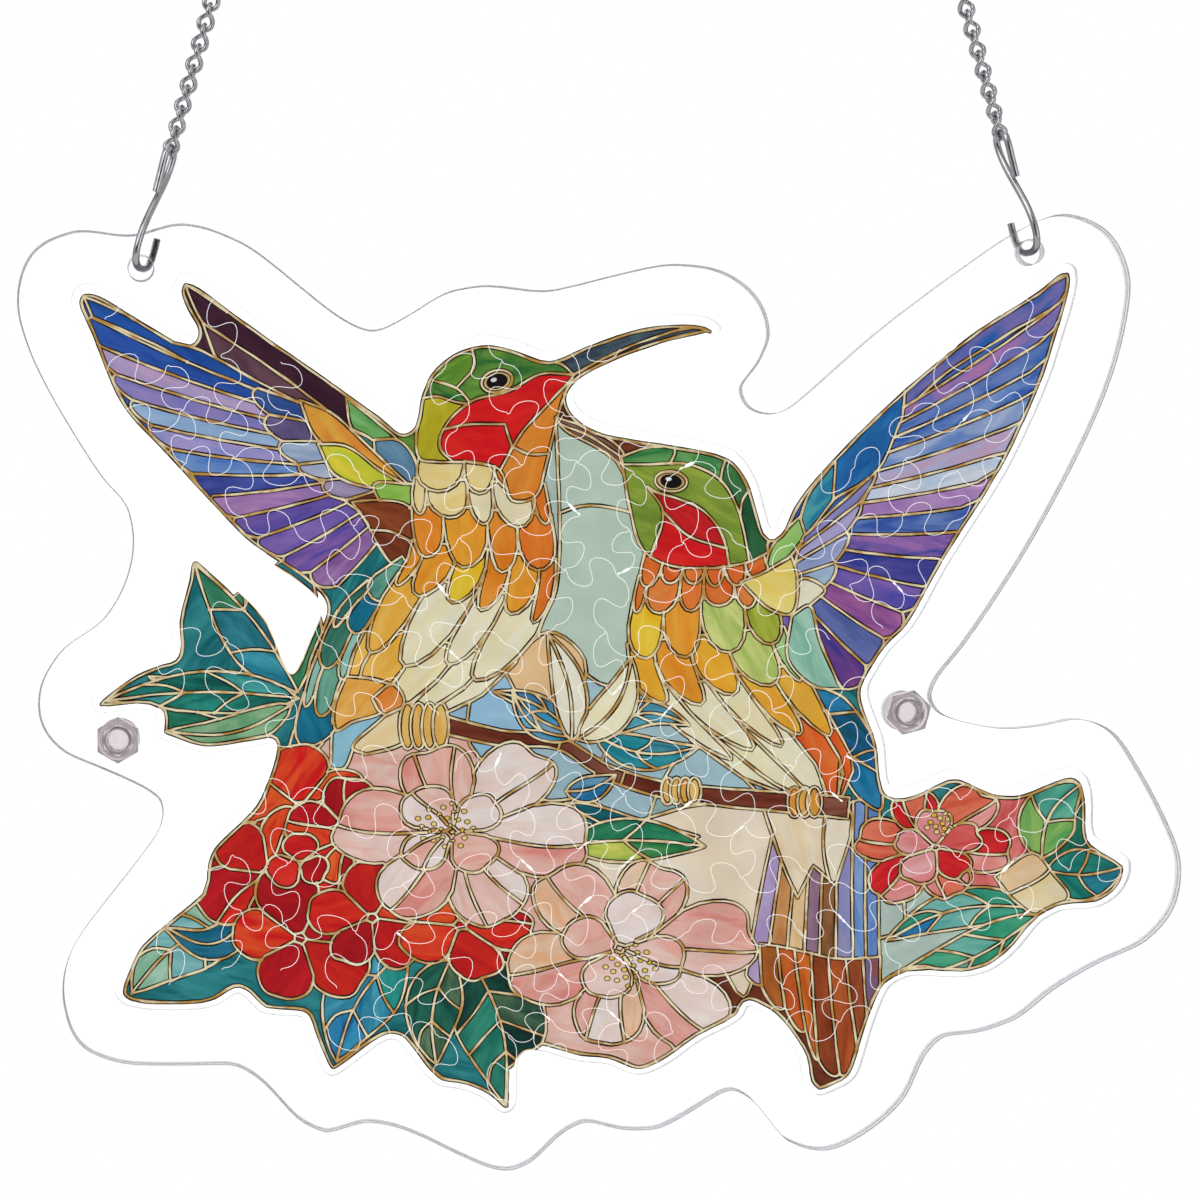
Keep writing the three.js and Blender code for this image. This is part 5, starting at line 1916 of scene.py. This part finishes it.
    def ring(self) -> None:
        """Builds the end ring, an open circle whose two ends almost meet."""
        radius = self.ring_inner + self.ring_wire - 0.05
        joint = 0.05 / radius
        turn = np.linspace(joint, TAU - joint, 121) + math.radians(200)
        path = np.column_stack([radius * np.cos(turn), np.zeros(len(turn)), radius * np.sin(turn)])
        normals = np.broadcast_to(np.array([0.0, 1.0, 0.0]), path.shape)
        verts, faces = tube(path, normals, self.ring_wire - 0.03, 20, False)
        last = self.first_link + (self.side.links - 1) * self.pitch + self.half_link
        verts = verts + np.array([0, 0, last - self.link_wire - self.ring_wire - self.gap + radius])
        self.wire_piece(f"ring_{self.side.name}", self.from_strand(verts), faces)

    @staticmethod
    def wire_piece(node: str, verts: np.ndarray, faces: list[list[int]]) -> None:
        """Adds a steel piece for a node."""
        piece = new_piece(node + "_wire", verts, faces, [Finish.STEEL], [node])
        piece.data.set_sharp_from_angle(angle=math.radians(40))
        low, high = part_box(node)
        off = max(np.abs(verts.min(axis=0) - low).max(), np.abs(verts.max(axis=0) - high).max())
        LOG.info("%s: %.3f mm from its box", piece.name, off / MM)


# ---------------------------------------------------------------- screws and nuts


@dataclass(frozen=True)
class Fastening:
    """One plastic screw with its nut. Lengths are in millimetres, depths along Y."""

    side: Side
    screw_radius: float = 2.5
    thread_depth: float = 0.42
    thread_pitch: float = 0.8
    face: float = 3.0
    nut_height: float = 4.0
    past_nut: float = 0.6
    chamfer: float = 0.4
    head_overhang: float = 1.6
    head_height: float = 2.6
    head_edge: float = 0.6
    slot_width: float = 1.2
    slot_depth: float = 1.1
    across_flats: float = 8.0
    clearance: float = 0.15

    def place(self, verts: np.ndarray) -> np.ndarray:
        """Points about the screw's axis, in millimetres, as points of the row frame."""
        x, z = self.side.screw
        return verts * MM + np.array([x * MM + BOARD.origin[0], 0, z * MM + BOARD.origin[1]])

    def grid_faces(self, rows: int, sides: int, closed: bool) -> list[list[int]]:
        """The faces between the rows of a grid that goes round an axis.

        The rows run from the first to the last, and a closed grid joins them again.
        """
        i, j = np.meshgrid(np.arange(rows if closed else rows - 1), np.arange(sides), indexing="ij")
        ahead, beside = (i + 1) % rows, (j + 1) % sides
        return np.stack([i * sides + j, i * sides + beside, ahead * sides + beside, ahead * sides + j],
                        axis=-1).reshape(-1, 4).tolist()

    def build(self) -> None:
        """Builds the screw and the nut."""
        self.screw()
        self.nut()

    def screw(self) -> None:
        """Builds the screw: a threaded shank with a chamfered end and a slotted round head.

        The shank's radius is the screw's, less a triangle wave that climbs one pitch with each
        turn. The slot is taken out of the head by a solid difference.
        """
        sides = 48
        end = -self.face - self.nut_height - self.past_nut
        turn = np.arange(sides) * TAU / sides
        depths = np.arange(end, self.face - 0.6, 0.1)
        wave = np.abs(((depths[:, None] / self.thread_pitch - turn[None] / TAU) % 1.0) * 2 - 1)
        shank = self.screw_radius - self.thread_depth * np.clip(wave * 1.3 - 0.15, 0, 1)
        lead = self.screw_radius - self.chamfer + (depths - end)[:, None]
        radius = np.minimum(shank, lead)
        head = self.screw_radius + self.head_overhang
        top = self.face + self.head_height
        arc = np.radians(np.linspace(0, 90, 7))
        profile = [(self.screw_radius, self.face), (head - 0.12, self.face), (head, self.face + 0.12)]
        profile += [(head - self.head_edge * (1 - math.cos(a)), top - self.head_edge * (1 - math.sin(a)))
                    for a in arc]
        radii = np.vstack([radius, *[np.full((1, sides), r) for r, _ in profile]])
        levels = np.concatenate([depths, [y for _, y in profile]])
        verts = np.stack([radii * np.cos(turn), np.broadcast_to(levels[:, None], radii.shape),
                          radii * np.sin(turn)], axis=-1).reshape(-1, 3)
        faces = self.grid_faces(len(radii), sides, False)
        last = (len(radii) - 1) * sides
        faces += [list(range(sides))[::-1], list(range(last, last + sides))]
        node = f"screw_{self.side.name}"
        piece = new_piece(node + "_threaded", self.place(verts), faces, [Finish.PLASTIC], [node])
        slot = self.cutter(np.array([-2 * head, top - self.slot_depth, -self.slot_width / 2]),
                           np.array([2 * head, top + 1, self.slot_width / 2]))
        cut = piece.modifiers.new("slot", "BOOLEAN")
        cut.operation, cut.solver, cut.object = "DIFFERENCE", "EXACT", slot
        bpy.context.view_layer.update()
        shaped = bpy.data.meshes.new_from_object(piece.evaluated_get(bpy.context.evaluated_depsgraph_get()))
        piece.modifiers.clear()
        piece.data = shaped
        bpy.data.objects.remove(slot)
        shaped.set_sharp_from_angle(angle=math.radians(32))

    def cutter(self, low: np.ndarray, high: np.ndarray) -> bpy.types.Object:
        """A block that takes the slot out of the head."""
        corners = np.array([[(low, high)[i][0], (low, high)[j][1], (low, high)[k][2]]
                            for i in (0, 1) for j in (0, 1) for k in (0, 1)])
        mesh = bpy.data.meshes.new("slot_cutter")
        faces = [[0, 1, 3, 2], [4, 6, 7, 5], [0, 4, 5, 1], [2, 3, 7, 6], [0, 2, 6, 4], [1, 5, 7, 3]]
        mesh.from_pydata(self.place(corners).tolist(), [], faces)
        block = bpy.data.objects.new("slot_cutter", mesh)
        bpy.context.scene.collection.objects.link(block)
        return block

    def nut(self) -> None:
        """Builds the nut: a hexagon with turned corners and a threaded bore.

        The outside's radius at an angle is the hexagon's, but no more than a cone's that widens
        from each face. The bore's radius grows by a triangle wave that climbs with the thread.
        """
        sides = 96
        turn = np.arange(sides) * TAU / sides
        start = -self.face - self.nut_height
        from_flat = (turn + math.radians(self.side.nut_turn) - math.pi / 2) % (math.pi / 3) - math.pi / 6
        hexagon = self.across_flats / 2 / np.cos(from_flat)
        levels = np.concatenate([np.linspace(0, 0.36, 5), [self.nut_height / 2],
                                 self.nut_height - np.linspace(0.36, 0, 5)])
        cone = self.across_flats / 2 + 0.02 + 1.7 * np.minimum(levels, self.nut_height - levels)
        outside = np.minimum(hexagon[None], cone[:, None])
        bore_levels = np.linspace(self.nut_height, 0, 41)
        wave = np.abs((((start + bore_levels[:, None]) / self.thread_pitch - turn[None] / TAU) % 1.0) * 2 - 1)
        bore = self.screw_radius + self.clearance + 0.3 * np.clip(wave * 1.3 - 0.15, 0, 1)
        mouth = self.screw_radius + 0.6 - np.minimum(bore_levels, self.nut_height - bore_levels)
        bore = np.maximum(bore, mouth[:, None])
        radii = np.vstack([outside, bore])
        depths = np.concatenate([levels, bore_levels]) + start
        verts = np.stack([radii * np.cos(turn), np.broadcast_to(depths[:, None], radii.shape),
                          radii * np.sin(turn)], axis=-1).reshape(-1, 3)
        faces = [face[::-1] for face in self.grid_faces(len(radii), sides, True)]
        node = f"nut_{self.side.name}"
        piece = new_piece(node + "_hexagon", self.place(verts), faces, [Finish.PLASTIC], [node])
        piece.data.set_sharp_from_angle(angle=math.radians(28))


# ---------------------------------------------------------------- studio


@dataclass(frozen=True)
class Studio:
    """The floor, the light and the camera."""

    target: tuple[float, float, float] = (0.001584, -0.003, -0.131471)
    eye: tuple[float, float, float] = (-0.0634, -0.912, -0.1195)
    lens_mm: float = 136.4
    floor_height: float = -0.42
    floor_radius: float = 0.8
    world_strength: float = 1.3
    depth_stops: tuple[tuple[float, float], ...] = ((0.0, 0.03), (0.035, 0.03), (0.09, 0.72), (0.6, 0.72),
                                                    (0.9, 1.0))
    side_stops: tuple[tuple[float, float], ...] = ((0.4, 1.0), (0.55, 0.3), (0.74, 0.3), (0.84, 1.0),
                                                   (0.97, 0.5))

    def build(self) -> None:
        """Sets everything up."""
        self.floor()
        self.world()
        self.lamps()
        self.camera()
        bpy.context.scene.view_settings.view_transform = "Standard"

    def floor(self) -> None:
        """A round pale floor well under the hanging object, made of rings of wedges."""
        turn = np.arange(64) * TAU / 64
        radii = np.array([0.25, 0.5, 0.75, 1.0]) * self.floor_radius
        rings = np.stack([radii[:, None] * np.cos(turn), radii[:, None] * np.sin(turn),
                          np.full((4, 64), self.floor_height)], axis=-1).reshape(-1, 3)
        i, j = np.meshgrid(np.arange(3), np.arange(64), indexing="ij")
        faces = np.stack([i * 64 + j, (i + 1) * 64 + j, (i + 1) * 64 + (j + 1) % 64, i * 64 + (j + 1) % 64],
                         axis=-1).reshape(-1, 4).tolist() + [list(range(64))]
        mesh = bpy.data.meshes.new("studio_floor")
        mesh.from_pydata(rings.tolist(), [], faces)
        mesh.materials.append(StudioPaint().material())
        floor = bpy.data.objects.new("studio_floor", mesh)
        bpy.context.scene.collection.objects.link(floor)

    def world(self) -> None:
        """White surroundings, brighter behind the object and dark around the camera.

        The dark part is what the plate's faces mirror. Broad dark bands at the sides give the wire
        and the sheets' edges something to mirror. The two ramps are multiplied. What the camera
        sees directly is plain white.
        """
        world = bpy.data.worlds.new("studio_light")
        world.use_nodes = True
        bpy.context.scene.world = world
        tree = world.node_tree
        tree.nodes.clear()
        kinds = ("TexCoord", "SeparateXYZ", "Math", "MapRange", "Math", "Background", "Background",
                 "LightPath", "MixShader", "OutputWorld")
        where, split, aside, depth, both, light, plain, path, choice, output = (
            tree.nodes.new("ShaderNode" + kind) for kind in kinds)
        aside.operation, both.operation = "ABSOLUTE", "MULTIPLY"
        depth.inputs["From Min"].default_value = -1.0
        light.inputs[1].default_value = self.world_strength
        plain.inputs[0].default_value = (1, 1, 1, 1)
        for number, (source, stops) in enumerate(((depth, self.depth_stops), (aside, self.side_stops))):
            ramp = tree.nodes.new("ShaderNodeValToRGB")
            marks = ramp.color_ramp.elements
            for place, (position, value) in enumerate(stops):
                mark = marks[place] if place < 2 else marks.new(position)
                mark.position, mark.color = position, (value, value, value, 1)
            tree.links.new(source.outputs[0], ramp.inputs[0])
            tree.links.new(ramp.outputs[0], both.inputs[number])
        for source, target in ((where.outputs["Generated"], split.inputs[0]), (split.outputs[0], aside.inputs[0]),
                               (split.outputs[1], depth.inputs["Value"]), (both.outputs[0], light.inputs[0]),
                               (path.outputs["Is Camera Ray"], choice.inputs[0]),
                               (light.outputs[0], choice.inputs[1]), (plain.outputs[0], choice.inputs[2]),
                               (choice.outputs[0], output.inputs[0])):
            tree.links.new(source, target)

    def lamps(self) -> None:
        """Large soft lamps in front, to the upper left and the lower right."""
        for name, place, size, power in (("key_light", (-1.1, -1.6, 0.9), 1.4, 12.0),
                                         ("fill_light", (1.2, -1.5, -0.1), 1.2, 5.0)):
            data = bpy.data.lights.new(name, "AREA")
            data.size, data.energy = size, power
            lamp = bpy.data.objects.new(name, data)
            self.aim(lamp, place)

    def aim(self, thing: bpy.types.Object, place: Sequence[float]) -> None:
        """Puts a lamp or the camera at a place, turned to the target."""
        thing.location = place
        thing.rotation_euler = (Vector(self.target) - Vector(place)).to_track_quat("-Z", "Y").to_euler()
        bpy.context.scene.collection.objects.link(thing)

    def camera(self) -> None:
        """The camera at the photograph's angle."""
        data = bpy.data.cameras.new("camera")
        data.lens, data.sensor_width = self.lens_mm, 36.0
        data.clip_start, data.clip_end = 0.01, 20.0
        camera = bpy.data.objects.new("camera", data)
        self.aim(camera, self.eye)
        bpy.context.scene.camera = camera


def main() -> None:
    """Loads the frame and builds the object and the studio around it."""
    logging.basicConfig(level=logging.INFO, format="%(message)s")
    FRAME.update(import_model())
    BOARD.settle()
    Picture().build()
    for node, recessed in (("front_cover", False), ("middle_frame", True), ("back_cover", False)):
        Sheet(node, recessed).build()
    for side in SIDES:
        Fastening(side).build()
        Hanging(side).build()
    Studio().build()
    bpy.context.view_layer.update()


if __name__ == "__main__":
    main()
